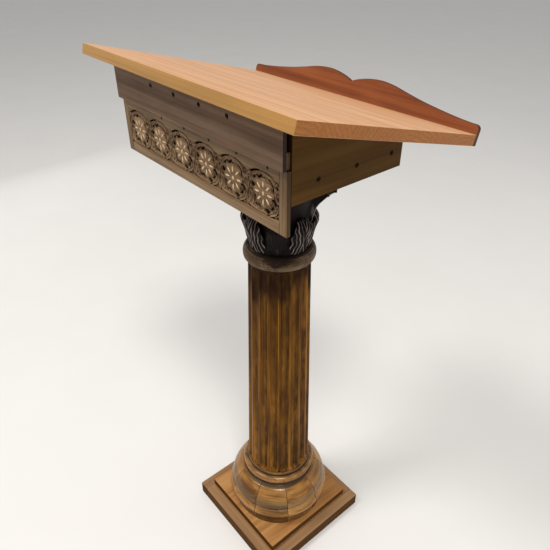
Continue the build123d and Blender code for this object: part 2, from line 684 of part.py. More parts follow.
def fretwork_outline(raise_by):
    """Face with a straight foot and a scalloped head, one arch over each medallion."""
    half = MEDALLIONS * MEDALLION_PITCH / 2 - FIT
    edges = [-half] + [x + MEDALLION_PITCH / 2 for x in MEDALLION_X[:-1]] + [half]
    with BuildLine() as outline:
        for index, x in enumerate(MEDALLION_X):
            ThreePointArc((edges[index], ARCH_CUSP_Z + raise_by), (x, ARCH_CROWN_Z + raise_by),
                          (edges[index + 1], ARCH_CUSP_Z + raise_by))
        Polyline((half, ARCH_CUSP_Z + raise_by), (half, FRETWORK_Z), (-half, FRETWORK_Z),
                 (-half, ARCH_CUSP_Z + raise_by))
    make_face(outline.edges())


def petal_sites():
    """Local position and direction of every petal and every flower centre."""
    petals, centres = [], []
    middle = (PETAL_INNER + PETAL_OUTER) / 2
    for x in MEDALLION_X:
        centres.append((x, MEDALLION_Z))
        for index in range(PETALS):
            angle = 90 + index * 360 / PETALS
            position = (x + middle * cos(radians(angle)), MEDALLION_Z + middle * sin(radians(angle)))
            petals.append((position, angle))
    return petals, centres


PETAL_LENGTH = PETAL_OUTER - PETAL_INNER
FLOWER_CENTRE = (2.2, 3.2)     # half-axes of the oval in the middle
INLAY_PROUD = 0.4
with BuildSketch() as petal_shape:
    with BuildLine():
        ThreePointArc((-PETAL_LENGTH / 2, 0), (0, PETAL_WIDTH / 2), (PETAL_LENGTH / 2, 0))
        ThreePointArc((PETAL_LENGTH / 2, 0), (0, -PETAL_WIDTH / 2), (-PETAL_LENGTH / 2, 0))
    make_face()


def inlay_faces(grow):
    """Petals and centres of all the flowers, grown by a clearance where they are pockets."""
    petals, centres = petal_sites()
    for position, angle in petals:
        with Locations(Location((*position, 0), (0, 0, angle))):
            if grow:
                add(offset(petal_shape.sketch, amount=grow, mode=Mode.PRIVATE))
            else:
                add(petal_shape.sketch)
    with Locations(*centres):
        Ellipse(FLOWER_CENTRE[0] + grow, FLOWER_CENTRE[1] + grow)


PIERCING_RING = 25.5           # from a flower's centre to the slots around its disc
PIERCING_LENGTH, PIERCING_WIDTH = 9.0, 4.0
SPANDREL_HOLE = 2.5
SPANDREL_HOLES = ((-28, 22), (28, 22), (-28, -26), (28, -26))
with BuildPart() as carved_fretwork:
    with BuildSketch(CARVING_PLANE):
        fretwork_outline(-FIT)
    extrude(amount=-CARVING_THICKNESS)
    with BuildSketch(CARVING_PLANE):
        for x in MEDALLION_X:
            with Locations((x, MEDALLION_Z)):
                with PolarLocations(PIERCING_RING, PETALS, start_angle=180 / PETALS):
                    SlotOverall(PIERCING_LENGTH, PIERCING_WIDTH, rotation=90)
            with Locations(*[(x + across, MEDALLION_Z + up) for across, up in SPANDREL_HOLES]):
                Circle(SPANDREL_HOLE)
    extrude(amount=-CARVING_THICKNESS, mode=Mode.SUBTRACT)
    with BuildSketch(CARVING_PLANE):
        inlay_faces(FIT)
    extrude(amount=-INLAY_DEPTH, mode=Mode.SUBTRACT)
save(carved_fretwork.part, "carved_fretwork")

with BuildPart() as petal_inlays:
    with BuildSketch(CARVING_PLANE.offset(-INLAY_DEPTH)):
        inlay_faces(0)
    extrude(amount=INLAY_DEPTH + INLAY_PROUD)
save(petal_inlays.part, "petal_inlays")

with BuildPart() as carved_top_rail:
    with BuildSketch(CARVING_PLANE):
        with Locations((0, (CARVING_TOP_Z + ARCH_CUSP_Z) / 2)):
            Rectangle(2 * STILE_INNER_X, CARVING_TOP_Z - ARCH_CUSP_Z)
    extrude(amount=-CARVING_THICKNESS)
    with BuildSketch(CARVING_PLANE):
        fretwork_outline(0)
    extrude(amount=-CARVING_THICKNESS, mode=Mode.SUBTRACT)
    for plane in front_planes(NAIL_X, NAIL_Z, CARVING_FRONT_Y):
        screw_hole(plane, CARVING_THICKNESS, NAIL_RADIUS + FIT)
save(carved_top_rail.part, "carved_top_rail")

NAIL_HEAD_RADIUS, NAIL_HEAD_HEIGHT = 2.4, 1.0
with BuildPart() as carving_nails:
    for plane in front_planes(NAIL_X, NAIL_Z, CARVING_FRONT_Y):
        with BuildSketch(plane):
            Circle(NAIL_RADIUS)
        extrude(amount=-(CARVING_THICKNESS + PANEL_THICKNESS - 1))
        with BuildSketch(plane):
            Circle(NAIL_HEAD_RADIUS)
        extrude(amount=NAIL_HEAD_HEIGHT)
save(carving_nails.part, "carving_nails")

# ---------------------------------------------------------------- plain plank over the carving
with BuildPart() as front_plank:
    side_slab(
        [(PLANK_FRONT_Y, PLANK_Z), (PLANK_BACK_Y, PLANK_Z), (PLANK_BACK_Y, underside(PLANK_BACK_Y)),
         (PLANK_FRONT_Y, underside(PLANK_FRONT_Y))],
        -BOX_HALF_WIDTH, BOX_HALF_WIDTH,
    )
    for plane in front_planes(PLANK_SCREW_X, PLANK_SCREW_Z, PLANK_FRONT_Y):
        screw_hole(plane, PLANK_THICKNESS)
        countersink(plane)
save(front_plank.part, "front_plank")

LOWER_BATTEN_HALF_LENGTH = BOX_HALF_WIDTH - 3
with BuildPart() as lower_batten:
    front_slab(-LOWER_BATTEN_HALF_LENGTH, LOWER_BATTEN_HALF_LENGTH, PLANK_Z, PLANK_Z + BATTEN_HEIGHT,
               PLANK_BACK_Y, BOX_FRONT_Y)
save(lower_batten.part, "lower_batten")

UPPER_BATTEN_Z = 1147.0
UPPER_BATTEN_HALF_LENGTH = 190.0
with BuildPart() as upper_batten:
    side_slab(
        [(PLANK_BACK_Y, UPPER_BATTEN_Z), (BOX_FRONT_Y, UPPER_BATTEN_Z), (BOX_FRONT_Y, underside(BOX_FRONT_Y)),
         (PLANK_BACK_Y, underside(BOX_FRONT_Y))],
        -UPPER_BATTEN_HALF_LENGTH, UPPER_BATTEN_HALF_LENGTH,
    )
    for plane in front_planes(PLANK_SCREW_X, PLANK_SCREW_Z, PLANK_BACK_Y):
        screw_hole(plane, BOX_FRONT_Y - PLANK_BACK_Y)
save(upper_batten.part, "upper_batten")

with BuildPart() as plank_screws:
    for plane in front_planes(PLANK_SCREW_X, PLANK_SCREW_Z, PLANK_FRONT_Y):
        screw(plane, BOX_FRONT_Y - PLANK_FRONT_Y + PANEL_THICKNESS - 1)
save(plank_screws.part, "plank_screws")
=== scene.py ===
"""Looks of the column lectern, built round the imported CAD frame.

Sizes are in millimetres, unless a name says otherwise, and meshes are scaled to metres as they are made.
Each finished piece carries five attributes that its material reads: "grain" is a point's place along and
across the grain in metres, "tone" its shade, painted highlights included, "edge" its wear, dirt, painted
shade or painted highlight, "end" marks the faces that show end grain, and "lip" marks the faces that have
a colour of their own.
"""
import json
import math
import random

import bmesh
import bpy
import numpy as np
from mathutils import Matrix, Vector


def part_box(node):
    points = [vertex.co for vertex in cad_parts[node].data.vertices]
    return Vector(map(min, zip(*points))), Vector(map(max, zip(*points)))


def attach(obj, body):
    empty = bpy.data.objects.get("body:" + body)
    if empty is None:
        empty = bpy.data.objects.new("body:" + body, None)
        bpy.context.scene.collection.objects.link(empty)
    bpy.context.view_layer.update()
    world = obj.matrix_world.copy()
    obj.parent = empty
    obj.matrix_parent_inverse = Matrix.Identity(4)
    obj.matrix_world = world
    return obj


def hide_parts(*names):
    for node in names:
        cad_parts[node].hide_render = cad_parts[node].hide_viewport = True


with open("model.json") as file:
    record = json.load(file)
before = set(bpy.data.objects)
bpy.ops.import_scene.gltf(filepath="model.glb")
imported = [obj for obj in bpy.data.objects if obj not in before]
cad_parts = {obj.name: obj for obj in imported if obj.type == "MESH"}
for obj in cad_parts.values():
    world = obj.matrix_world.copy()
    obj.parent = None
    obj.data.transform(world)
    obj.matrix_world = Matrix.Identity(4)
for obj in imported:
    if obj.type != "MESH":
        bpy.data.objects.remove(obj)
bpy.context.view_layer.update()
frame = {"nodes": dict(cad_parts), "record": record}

MM = 0.001
X_AXIS, Y_AXIS, Z_AXIS = (1, 0, 0), (0, 1, 0), (0, 0, 1)
TOP_SLOPE = math.radians(15)
TOP_HIGH_Y, TOP_HIGH_Z = -216.0, 1200.0
TOP_WIDTH, TOP_DEPTH, TOP_THICKNESS = 560.0, 396.0, 18.0
BOX_HALF_WIDTH, BOX_FRONT_Y, BOX_BACK_Y, BOX_Z = 226.5, -174.0, 52.0, 1060.0
BOARD_THICKNESS = 12.0
rng = random.Random(7)


# ---------------------------------------------------------------- node helpers
class Nodes:
    """Short calls for building one material's node tree."""

    def __init__(self, name):
        self.material = bpy.data.materials.new(name)
        self.material.use_nodes = True
        self.tree = self.material.node_tree
        self.tree.nodes.clear()
        self.shader = self.tree.nodes.new("ShaderNodeBsdfPrincipled")
        out = self.tree.nodes.new("ShaderNodeOutputMaterial")
        self.tree.links.new(self.shader.outputs[0], out.inputs[0])

    def put(self, socket, value):
        if isinstance(value, bpy.types.NodeSocket):
            self.tree.links.new(value, socket)
        elif value is not None:
            socket.default_value = value

    def shade(self, name, value):
        """Link or set one of the shader's inputs."""
        self.put(self.shader.inputs[name], value)

    def node(self, kind, **settings):
        made = self.tree.nodes.new(kind)
        for key, value in settings.items():
            setattr(made, key, value)
        return made

    def attribute(self, name, output="Vector"):
        return self.node("ShaderNodeAttribute", attribute_name=name).outputs[output]

    def place(self):
        """Each point's place in its object, in metres."""
        return self.node("ShaderNodeTexCoord").outputs["Object"]

    def scaled(self, vector, scale):
        made = self.node("ShaderNodeVectorMath", operation="MULTIPLY")
        self.put(made.inputs[0], vector)
        made.inputs[1].default_value = scale
        return made.outputs[0]

    def shifted(self, vector, shift):
        made = self.node("ShaderNodeVectorMath", operation="ADD")
        self.put(made.inputs[0], vector)
        self.put(made.inputs[1], shift)
        return made.outputs[0]

    def noise(self, vector, scale=1.0, detail=3.0, rough=0.55, colour=False, distortion=0.0):
        made = self.node("ShaderNodeTexNoise")
        self.put(made.inputs["Vector"], vector)
        made.inputs["Scale"].default_value = scale
        made.inputs["Detail"].default_value = detail
        made.inputs["Roughness"].default_value = rough
        made.inputs["Distortion"].default_value = distortion
        return made.outputs["Color" if colour else "Fac"]

    def math(self, operation, a, b=None, clamp=False):
        made = self.node("ShaderNodeMath", operation=operation, use_clamp=clamp)
        self.put(made.inputs[0], a)
        self.put(made.inputs[1], b)
        return made.outputs[0]

    def plus(self, a, b, clamp=False):
        return self.math("ADD", a, b, clamp)

    def times(self, a, b):
        return self.math("MULTIPLY", a, b)

    def swing(self, value, size):
        """Turn a value that lies round 0.5 into one that lies round zero."""
        return self.times(self.math("SUBTRACT", value, 0.5), size)

    def ramp(self, value, *stops):
        made = self.node("ShaderNodeValToRGB")
        self.put(made.inputs[0], value)
        elements = made.color_ramp.elements
        while len(elements) < len(stops):
            elements.new(0.5)
        for element, (place, colour) in zip(elements, stops):
            element.position = place
            element.color = (colour, colour, colour, 1) if isinstance(colour, float) else (*colour, 1)
        return made.outputs[0]

    def mix(self, share, a, b, blend="MIX"):
        made = self.node("ShaderNodeMix", data_type="RGBA", blend_type=blend)
        self.put(made.inputs[0], share)
        self.put(made.inputs[6], (*a, 1) if isinstance(a, tuple) else a)
        self.put(made.inputs[7], (*b, 1) if isinstance(b, tuple) else b)
        return made.outputs[2]

    def span(self, value, low, high, to_low=0.0, to_high=1.0):
        made = self.node("ShaderNodeMapRange")
        self.put(made.inputs[0], value)
        for index, number in enumerate((low, high, to_low, to_high), 1):
            made.inputs[index].default_value = number
        return made.outputs[0]

    def bump(self, height, strength, distance):
        made = self.node("ShaderNodeBump")
        made.inputs["Strength"].default_value = strength
        made.inputs["Distance"].default_value = distance
        self.put(made.inputs["Height"], height)
        return made.outputs[0]


def srgb(colour):
    """Linear colour from the usual 0 to 255 numbers."""
    shares = [v / 255 for v in colour]
    return tuple(v / 12.92 if v <= 0.04045 else ((v + 0.055) / 1.055) ** 2.4 for v in shares)


def dimmed(colour, share):
    return tuple(c * share for c in colour)


# ---------------------------------------------------------------- materials
def wood(name, dark, mid, light, end, ring=5.0, figure=0.5, fibre=0.4, pores=0.4, blotch=0.35, rough=0.4,
         coat=0.0, coat_rough=0.15, bump=0.25, tone_swing=0.35, edge_dark=0.0, edge_colour=None, lip=None,
         shine=0.5, glint=None):
    """Solid wood: growth rings, fibres, pores and blotches, which follow the grain through the whole piece.

    Colours are 0 to 255 numbers, apart from glint, and ring is the width of a growth ring.
    """
    n = Nodes(name)
    grain = n.attribute("grain")
    tone = n.attribute("tone", "Fac")
    dark, mid, light, end = srgb(dark), srgb(mid), srgb(light), srgb(end)

    def pattern(along, across, detail, roughness=0.55, **more):
        """Noise with its cycles per metre along and across the grain."""
        return n.noise(n.scaled(grain, (along, across, across)), 1.0, detail, roughness, **more)

    wander = n.scaled(pattern(1.6, 9.0, 3.0, colour=True), (0.0, 0.024, 0.024))
    bent = n.shifted(grain, wander)
    split = n.node("ShaderNodeSeparateXYZ")
    n.put(split.inputs[0], bent)
    across, up = split.outputs[1], split.outputs[2]
    radius = n.math("SQRT", n.plus(n.times(across, across), n.times(up, up)))
    rings = n.math("FRACT", n.times(radius, 1000.0 / ring))
    late = n.ramp(rings, (0.0, 0.15), (0.55, 0.45), (0.86, 1.0), (1.0, 0.1))
    fibres = pattern(7.0, 520.0, 4.0, 0.6)
    streaks = pattern(2.2, 75.0, 3.0)
    blotches = pattern(7.0, 22.0, 2.0, 0.5, distortion=0.6)
    pits = pattern(70.0, 1500.0, 2.0, 0.5)

    level = n.times(late, figure)
    level = n.plus(level, n.times(n.span(streaks, 0.3, 0.7), 1.0 - figure))
    level = n.plus(level, n.swing(fibres, fibre * 2.0), clamp=True)
    level = n.plus(level, n.swing(blotches, blotch * 2.2), clamp=True)
    colour = n.ramp(level, (0.0, light), (0.5, mid), (1.0, dark))
    pore = n.times(n.span(pits, 0.60, 0.72), pores)
    colour = n.mix(pore, colour, dimmed(dark, 0.35))

    rough_end = pattern(40.0, 420.0, 3.0, 0.65)
    end_colour = n.mix(n.span(rough_end, 0.34, 0.74), end, dimmed(end, 0.5))
    end_colour = n.mix(n.times(late, 0.45), end_colour, dimmed(end, 0.3))
    colour = n.mix(n.attribute("end", "Fac"), colour, end_colour)
    shade = n.span(tone, 0.0, 1.0, 1.0 - tone_swing, 1.0 + tone_swing * 0.6)
    colour = n.mix(1.0, colour, shade, "MULTIPLY")
    if lip:
        lip_colour = n.mix(n.span(level, 0.0, 1.0), dimmed(srgb(lip), 1.12), dimmed(srgb(lip), 0.72))
        colour = n.mix(n.attribute("lip", "Fac"), colour, lip_colour)
    # The edge attribute mixes in edge_colour: wear, dirt and dark joints on some pieces, painted shade or
    # painted highlight on others.
    if edge_colour:
        wear_and_painted_light = n.attribute("edge", "Fac")
        patch_noise = pattern(30.0, 90.0, 3.0)
        patch = n.math("SUBTRACT", n.times(wear_and_painted_light, 1.6), n.span(patch_noise, 0.3, 0.7, 0.0, 0.6), clamp=True)
        colour = n.mix(n.times(patch, edge_dark), colour, srgb(edge_colour))
    n.shade("Base Color", colour)

    gloss = n.plus(n.swing(streaks, 0.22), rough, clamp=True)
    gloss = n.plus(gloss, n.times(pore, 0.2), clamp=True)
    if edge_colour:
        gloss = n.plus(gloss, n.times(patch, 0.4), clamp=True)
    n.shade("Roughness", gloss)
    height = n.math("SUBTRACT", n.times(fibres, 0.5), pore)
    n.shade("Normal", n.bump(height, bump, 0.0004))
    n.shade("Specular IOR Level", shine)
    if glint:
        n.shade("Specular Tint", (*glint, 1.0))
    if coat:
        n.shade("Coat Weight", coat)
        n.shade("Coat Roughness", coat_rough)
    return n.material


def steel(name, colour, rough):
    n = Nodes(name)
    dirt = n.noise(n.place(), 900.0, 3.0)
    n.shade("Base Color", n.mix(n.span(dirt, 0.35, 0.7), colour, dimmed(colour, 0.35)))
    n.shade("Roughness", n.span(dirt, 0.3, 0.7, rough, rough + 0.25))
    n.shade("Metallic", 0.85)
    return n.material


def bare_wood(name, dark, light):
    """Wood for the hidden CAD pieces, which have no grain attribute."""
    n = Nodes(name)
    lines = n.noise(n.scaled(n.place(), (12.0, 160.0, 160.0)), 1.0, 4.0, 0.6)
    n.shade("Base Color", n.mix(n.span(lines, 0.35, 0.65), srgb(light), srgb(dark)))
    n.shade("Roughness", n.span(lines, 0.3, 0.7, 0.55, 0.75))
    n.shade("Normal", n.bump(lines, 0.2, 0.0004))
    return n.material


def bone(name, light, dark, speck):
    n = Nodes(name)
    place = n.place()
    cloud = n.noise(place, 260.0, 3.0)
    specks = n.noise(place, 1400.0, 2.0)
    colour = n.mix(n.span(cloud, 0.3, 0.7), srgb(light), srgb(dark))
    colour = n.mix(n.times(n.span(specks, 0.62, 0.75), 0.6), colour, srgb(speck))
    n.shade("Base Color", colour)
    n.shade("Roughness", n.span(cloud, 0.3, 0.7, 0.3, 0.45))
    n.shade("Normal", n.bump(specks, 0.15, 0.0003))
    return n.material


MATERIALS = {
    "top_wood": wood("planed_board", (192, 138, 94), (205, 156, 114), (213, 169, 131), end=(182, 112, 44),
                     ring=7.0, figure=0.2, fibre=0.35, pores=0.25, blotch=0.25, rough=0.5, coat=0.05,
                     coat_rough=0.4, tone_swing=0.06, lip=(168, 124, 64), shine=0.4),
    "ledge_wood": wood("red_stained_board", (104, 54, 28), (128, 70, 38), (140, 82, 48), end=(84, 48, 30),
                       ring=6.0, figure=0.06, fibre=0.2, pores=0.2, blotch=0.3, rough=0.5, tone_swing=0.06,
                       edge_dark=0.8, edge_colour=(70, 46, 34), shine=0.2),
    "panel_wood": wood("olive_stained_board", (70, 46, 11), (84, 57, 16), (92, 65, 22), end=(60, 38, 16),
                       ring=9.0, figure=0.06, fibre=0.12, pores=0.05, blotch=0.2, rough=0.6, tone_swing=0.1,
                       bump=0.06, shine=0.1),
    "plank_wood": wood("grey_brown_board", (84, 62, 44), (105, 81, 61), (121, 96, 75), end=(52, 34, 34),
                       ring=8.0, figure=0.2, fibre=0.35, pores=0.45, blotch=0.4, rough=0.6, tone_swing=0.12,
                       shine=0.2),
    "carving_wood": wood("carved_hardwood", (86, 63, 41), (126, 98, 69), (156, 127, 93), end=(76, 50, 34),
                         ring=6.0, figure=0.25, blotch=0.45, rough=0.55, tone_swing=0.3, edge_dark=1.0,
                         edge_colour=(22, 12, 7), lip=(72, 51, 24), shine=0.2),
    "inner_wood": bare_wood("bare_softwood", (60, 38, 7), (92, 62, 12)),
    # Its edge colour is pale grey: the painted highlight on the carving's crests and horns.
    "capital_wood": wood("black_stained_carving", (9, 5, 5), (17, 10, 9), (27, 17, 14), end=(26, 16, 14),
                         figure=0.3, pores=0.3, blotch=0.4, rough=0.55, tone_swing=0.1, edge_dark=0.95,
                         edge_colour=(156, 144, 138), shine=0.09),
    "block_wood": wood("dark_block", (40, 26, 18), (70, 48, 32), (88, 62, 42), end=(66, 44, 28), ring=7.0,
                       rough=0.5),
    "ring_wood": wood("rubbed_ring", (62, 44, 26), (100, 78, 52), (128, 106, 80), end=(104, 76, 48), ring=6.0,
                      figure=0.4, pores=0.5, blotch=0.8, rough=0.45, tone_swing=0.1, edge_dark=0.9,
                      edge_colour=(30, 18, 10), shine=0.25),
    "shaft_wood": wood("varnished_staves", (56, 29, 2), (106, 66, 7), (154, 102, 24), end=(100, 60, 22),
                       ring=6.0, figure=0.15, fibre=0.35, pores=0.45, blotch=0.42, coat=0.07, coat_rough=0.2,
                       tone_swing=0.3, edge_dark=0.92, edge_colour=(36, 15, 4), shine=0.15,
                       glint=(1.0, 0.72, 0.42)),
    "base_wood": wood("varnished_segments", (82, 50, 14), (126, 86, 38), (156, 116, 64), end=(124, 80, 38),
                      ring=6.0, figure=0.25, fibre=0.35, pores=0.5, blotch=0.8, rough=0.24, coat=0.1,
                      coat_rough=0.22, tone_swing=0.55, edge_dark=0.96, edge_colour=(36, 18, 8), shine=0.55,
                      glint=(1.0, 0.84, 0.66)),
    "plinth_wood": wood("varnished_boards", (140, 94, 52), (166, 118, 70), (182, 136, 86), end=(140, 92, 46),
                        ring=7.0, figure=0.12, blotch=0.5, rough=0.5, tone_swing=0.2, lip=(150, 115, 82),
                        edge_dark=0.9, edge_colour=(62, 36, 6), shine=0.2, glint=(1.0, 0.8, 0.55)),
    "screw_steel": steel("dull_steel", (0.05, 0.035, 0.025), 0.5),
    "inlay_bone": bone("polished_bone", (214, 190, 154), (190, 162, 126), (120, 88, 60)),
}
SLOTS = {part["node"]: part["material_slot"] for part in frame["record"]["subparts"]}


# ---------------------------------------------------------------- mesh helpers
def linked(name, data):
    """New object in the scene."""
    obj = bpy.data.objects.new(name, data)
    bpy.context.scene.collection.objects.link(obj)
    return obj


def triples(items, field):
    """Three numbers of each point or face of a mesh, as rows."""
    values = np.empty(len(items) * 3, np.float32)
    items.foreach_get(field, values)
    return values.reshape(-1, 3).astype(float)


def mesh_of_points(name, verts, faces):
    mesh = bpy.data.meshes.new(name)
    mesh.from_pydata((np.asarray(verts, float) * MM).tolist(), [], faces)
    return mesh


def piece(name, verts, faces, grain, tone=0.5, edge=0.0, sharp=40, weighted=True):
    """Make a node's finished piece from points in millimetres."""
    mesh = mesh_of_points(name, verts, faces)
    mesh.validate()
    dress(name, mesh, grain, tone, edge, sharp, weighted)


def dress(name, mesh, grain, tone=0.5, edge=0.0, sharp=40, weighted=True, lip=(0, 0, 0)):
    """Mark a mesh for its material and tie it to the frame in place of the node with its name.

    Tone and edge are one number for the piece or one for each point. Faces that look along lip are marked.
    """
    count = len(mesh.vertices)
    co, normals = triples(mesh.vertices, "co"), triples(mesh.polygons, "normal")
    axis = np.asarray(grain, float) / np.linalg.norm(grain)
    side = np.cross(axis, Z_AXIS if abs(axis[2]) < 0.9 else X_AXIS)
    side /= np.linalg.norm(side)
    along = np.stack([co @ axis, co @ side, co @ np.cross(side, axis)], 1)
    along -= along.mean(0)
    # Every piece is cut from a place of its own, a little off the middle of its tree.
    shift = (rng.uniform(-3, 3), rng.choice((-1, 1)) * rng.uniform(0.02, 0.07), rng.uniform(0.015, 0.09))
    along = (along + np.array(shift)).astype(np.float32)
    mesh.attributes.new("grain", "FLOAT_VECTOR", "POINT").data.foreach_set("vector", along.ravel())
    marks = (("tone", "POINT", np.full(count, tone, np.float32)),
             ("end", "FACE", (np.abs(normals @ axis) > 0.75).astype(np.float32)),
             ("lip", "FACE", (normals @ np.array(lip) > 0.6).astype(np.float32)),
             ("edge", "POINT", np.full(count, edge, np.float32)))
    for key, domain, values in marks:
        mesh.attributes.new(key, "FLOAT", domain).data.foreach_set("value", values)
    mesh.shade_smooth()
    if sharp:
        mesh.set_sharp_from_angle(angle=math.radians(sharp))
    obj = linked(name, mesh)
    slot = SLOTS[name]
    mesh.materials.append(MATERIALS[slot])
    if weighted:
        obj.modifiers.new("normals", "WEIGHTED_NORMAL").keep_sharp = True
    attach(obj, "root")
    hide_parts(name)


class Builder:
    """Collects parts into one mesh."""

    def __init__(self):
        self.verts, self.faces, self.edge = [], [], []

    def add(self, verts, faces, edge=None):
        base = len(self.verts)
        self.verts += [tuple(v) for v in verts]
        self.faces += [tuple(base + i for i in f) for f in faces]
        self.edge += edge or [0.0] * len(verts)

    def finish(self, name, grain, sharp):
        """Make the piece, with all its faces looking outwards."""
        mesh = mesh_of_points(name, self.verts, self.faces)
        bm = bmesh.new()
        bm.from_mesh(mesh)
        bmesh.ops.recalc_face_normals(bm, faces=bm.faces)
        bm.to_mesh(mesh)
        bm.free()
        dress(name, mesh, grain, edge=self.edge, sharp=sharp, weighted=False)


def mesh_from(bm):
    mesh = bpy.data.meshes.new("solid")
    bm.to_mesh(mesh)
    bm.free()
    return mesh


def in_metres(mesh):
    mesh.transform(Matrix.Scale(MM, 4))
    return mesh


def bevelled(bm, width, segments):
    """Round every edge of a plain solid."""
    bmesh.ops.recalc_face_normals(bm, faces=bm.faces)
    edges = [e for e in bm.edges if e.is_manifold and e.calc_face_angle() > math.radians(25)]
    bmesh.ops.bevel(bm, geom=edges, offset=width, offset_type="OFFSET", segments=segments, profile=0.5,
                    affect="EDGES", clamp_overlap=True)


def prism_mesh(outline, place, depth, bevel, segments=2, cuts=()):
    """Solid from a 2-D outline: place(u, v, w) gives a point, with w from 0 to depth.

    Cuts lists the place and direction of each screw hole.
    """
    bm = bmesh.new()
    low = [bm.verts.new(place(u, v, 0.0)) for u, v in outline]
    high = [bm.verts.new(place(u, v, depth)) for u, v in outline]
    bm.faces.new(low)
    bm.faces.new(high[::-1])
    for i in range(len(outline)):
        j = (i + 1) % len(outline)
        bm.faces.new((low[i], high[i], high[j], low[j]))
    bevelled(bm, bevel, segments)
    mesh = mesh_from(bm)
    return in_metres(carve(mesh, cuts) if cuts else mesh)


SCREW_HOLE = [(-1.0, 4.0), (1.2, 4.0), (4.2, 2.15), (14.0, 2.15)]  # depth and radius


def carve(mesh, cuts):
    """Cut countersunk screw holes into a mesh, in millimetres."""
    body = linked("body", mesh)
    bm = bmesh.new()
    for origin, axis in cuts:
        spin_solid(bm, SCREW_HOLE, origin, axis, 24)
    tool = linked("tool", mesh_from(bm))
    boolean = body.modifiers.new("cut", "BOOLEAN")
    boolean.object = tool
    boolean.solver = "EXACT"
    bpy.context.view_layer.update()
    result = bpy.data.meshes.new_from_object(body.evaluated_get(bpy.context.evaluated_depsgraph_get()))
    bpy.data.objects.remove(body)
    bpy.data.objects.remove(tool)
    return result


def frame_of(axis):
    """A direction and two others square to it."""
    axis = Vector(axis).normalized()
    side = axis.orthogonal().normalized()
    return axis, side, axis.cross(side)


def spin_solid(bm, profile, origin, axis, sides):
    """Closed solid of revolution: profile lists distances along the axis with a radius."""
    axis, a, b = frame_of(axis)
    rings = []
    for distance, radius in profile:
        ring = []
        for i in range(sides):
            t = 2 * math.pi * i / sides
            ring.append(bm.verts.new(Vector(origin) + axis * distance
                                     + (a * math.cos(t) + b * math.sin(t)) * radius))
        rings.append(ring)
    for lower, upper in zip(rings, rings[1:]):
        for i in range(sides):
            j = (i + 1) % sides
            bm.faces.new((lower[i], lower[j], upper[j], upper[i]))
    bm.faces.new(rings[0][::-1])
    bm.faces.new(rings[-1])


def board(name, bevel, grain, tone, lip=(0, 0, 0), shade_below=None):
    """Plain board that fills its node's box, with painted shade on its sides from a depth under its top face.
    """
    low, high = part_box(name)
    (x0, y0, z0), (x1, y1, z1) = [tuple(v / MM for v in corner) for corner in (low, high)]
    outline = [(x0, z0), (x1, z0), (x1, z1), (x0, z1)]
    mesh = prism_mesh(outline, lambda u, v, w: (u, y0 + w, v), y1 - y0, bevel)
    edge = 0.0
    if shade_below is not None:
        edge = triples(mesh.vertices, "co")[:, 2] < (z1 - shade_below) * MM
    dress(name, mesh, grain, tone, edge, lip=lip)


def polar(radius, angle, z):
    return radius * math.cos(angle), radius * math.sin(angle), z


def clipped(value):
    return min(max(value, 0.0), 1.0)


def arc_points(start, middle, end, count):
    """Points on the circle through three points of a profile, without the last."""
    (x1, y1), (x2, y2), (x3, y3) = start, middle, end
    d = 2 * (x1 * (y2 - y3) + x2 * (y3 - y1) + x3 * (y1 - y2))
    ux = ((x1**2 + y1**2) * (y2 - y3) + (x2**2 + y2**2) * (y3 - y1) + (x3**2 + y3**2) * (y1 - y2)) / d
    uy = ((x1**2 + y1**2) * (x3 - x2) + (x2**2 + y2**2) * (x1 - x3) + (x3**2 + y3**2) * (x2 - x1)) / d
    a = [math.atan2(y - uy, x - ux) for x, y in (start, middle, end)]
    sweep = (a[2] - a[0]) % (2 * math.pi)
    if (a[1] - a[0]) % (2 * math.pi) > sweep:
        sweep -= 2 * math.pi
    r = math.hypot(x1 - ux, y1 - uy)
    return [(ux + r * math.cos(a[0] + sweep * i / count), uy + r * math.sin(a[0] + sweep * i / count))
            for i in range(count)]


def smooth_curve(points, count):
    """Evenly spaced points on a smooth curve through the given ones."""
    p = np.asarray(points, float)
    t = np.concatenate([[0], np.cumsum(np.linalg.norm(np.diff(p, axis=0), axis=1))])
    m = np.gradient(p, t, axis=0)
    s = np.linspace(0, t[-1], count)
    k = np.clip(np.searchsorted(t, s, side="right") - 1, 0, len(t) - 2)
    h = (t[k + 1] - t[k])[:, None]
    u = ((s - t[k])[:, None]) / h
    return ((2 * u**3 - 3 * u**2 + 1) * p[k] + (u**3 - 2 * u**2 + u) * h * m[k]
            + (-2 * u**3 + 3 * u**2) * p[k + 1] + (u**3 - u**2) * h * m[k + 1])


def grid_faces(rows, columns, wrap=False, base=0):
    faces = []
    for i in range(rows - 1):
        for j in range(columns if wrap else columns - 1):
            k = (j + 1) % columns
            faces.append((base + i * columns + j, base + i * columns + k,
                          base + (i + 1) * columns + k, base + (i + 1) * columns + j))
    return faces


def end_caps(rows, columns):
    """The two faces that close a tube of points."""
    return [tuple(range(columns))[::-1], tuple((rows - 1) * columns + j for j in range(columns))]


def swept_faces(turns, count, closed):
    """Faces of a closed profile of count points that was swept through a number of places."""
    faces = []
    for j in range(turns if closed else turns - 1):
        k = (j + 1) % turns
        for i in range(count):
            h = (i + 1) % count
            faces.append((j * count + i, k * count + i, k * count + h, j * count + h))
    return faces


def grid_rim(rows, columns):
    """Numbers of the points round the rim of a grid, in order."""
    rim = list(range(columns)) + [i * columns + columns - 1 for i in range(1, rows)]
    rim += [(rows - 1) * columns + j for j in range(columns - 2, -1, -1)]
    return rim + [i * columns for i in range(rows - 2, 0, -1)]


def rim_walls(rim, behind):
    """Faces between a grid's rim and the points behind it."""
    return [(b, a, behind[a], behind[b]) for a, b in zip(rim, rim[1:] + rim[:1])]


# ---------------------------------------------------------------- camera, light and floor, in metres
camera = linked("camera", bpy.data.cameras.new("camera"))
camera.location = (0.7097, -0.6079, 1.3841)
camera.rotation_euler = (math.pi / 2 - math.radians(33.66), 0.0, math.radians(49.98))
camera.data.sensor_width = 36.0
camera.data.lens = 35.31
camera.data.clip_start = 0.02
bpy.context.scene.camera = camera

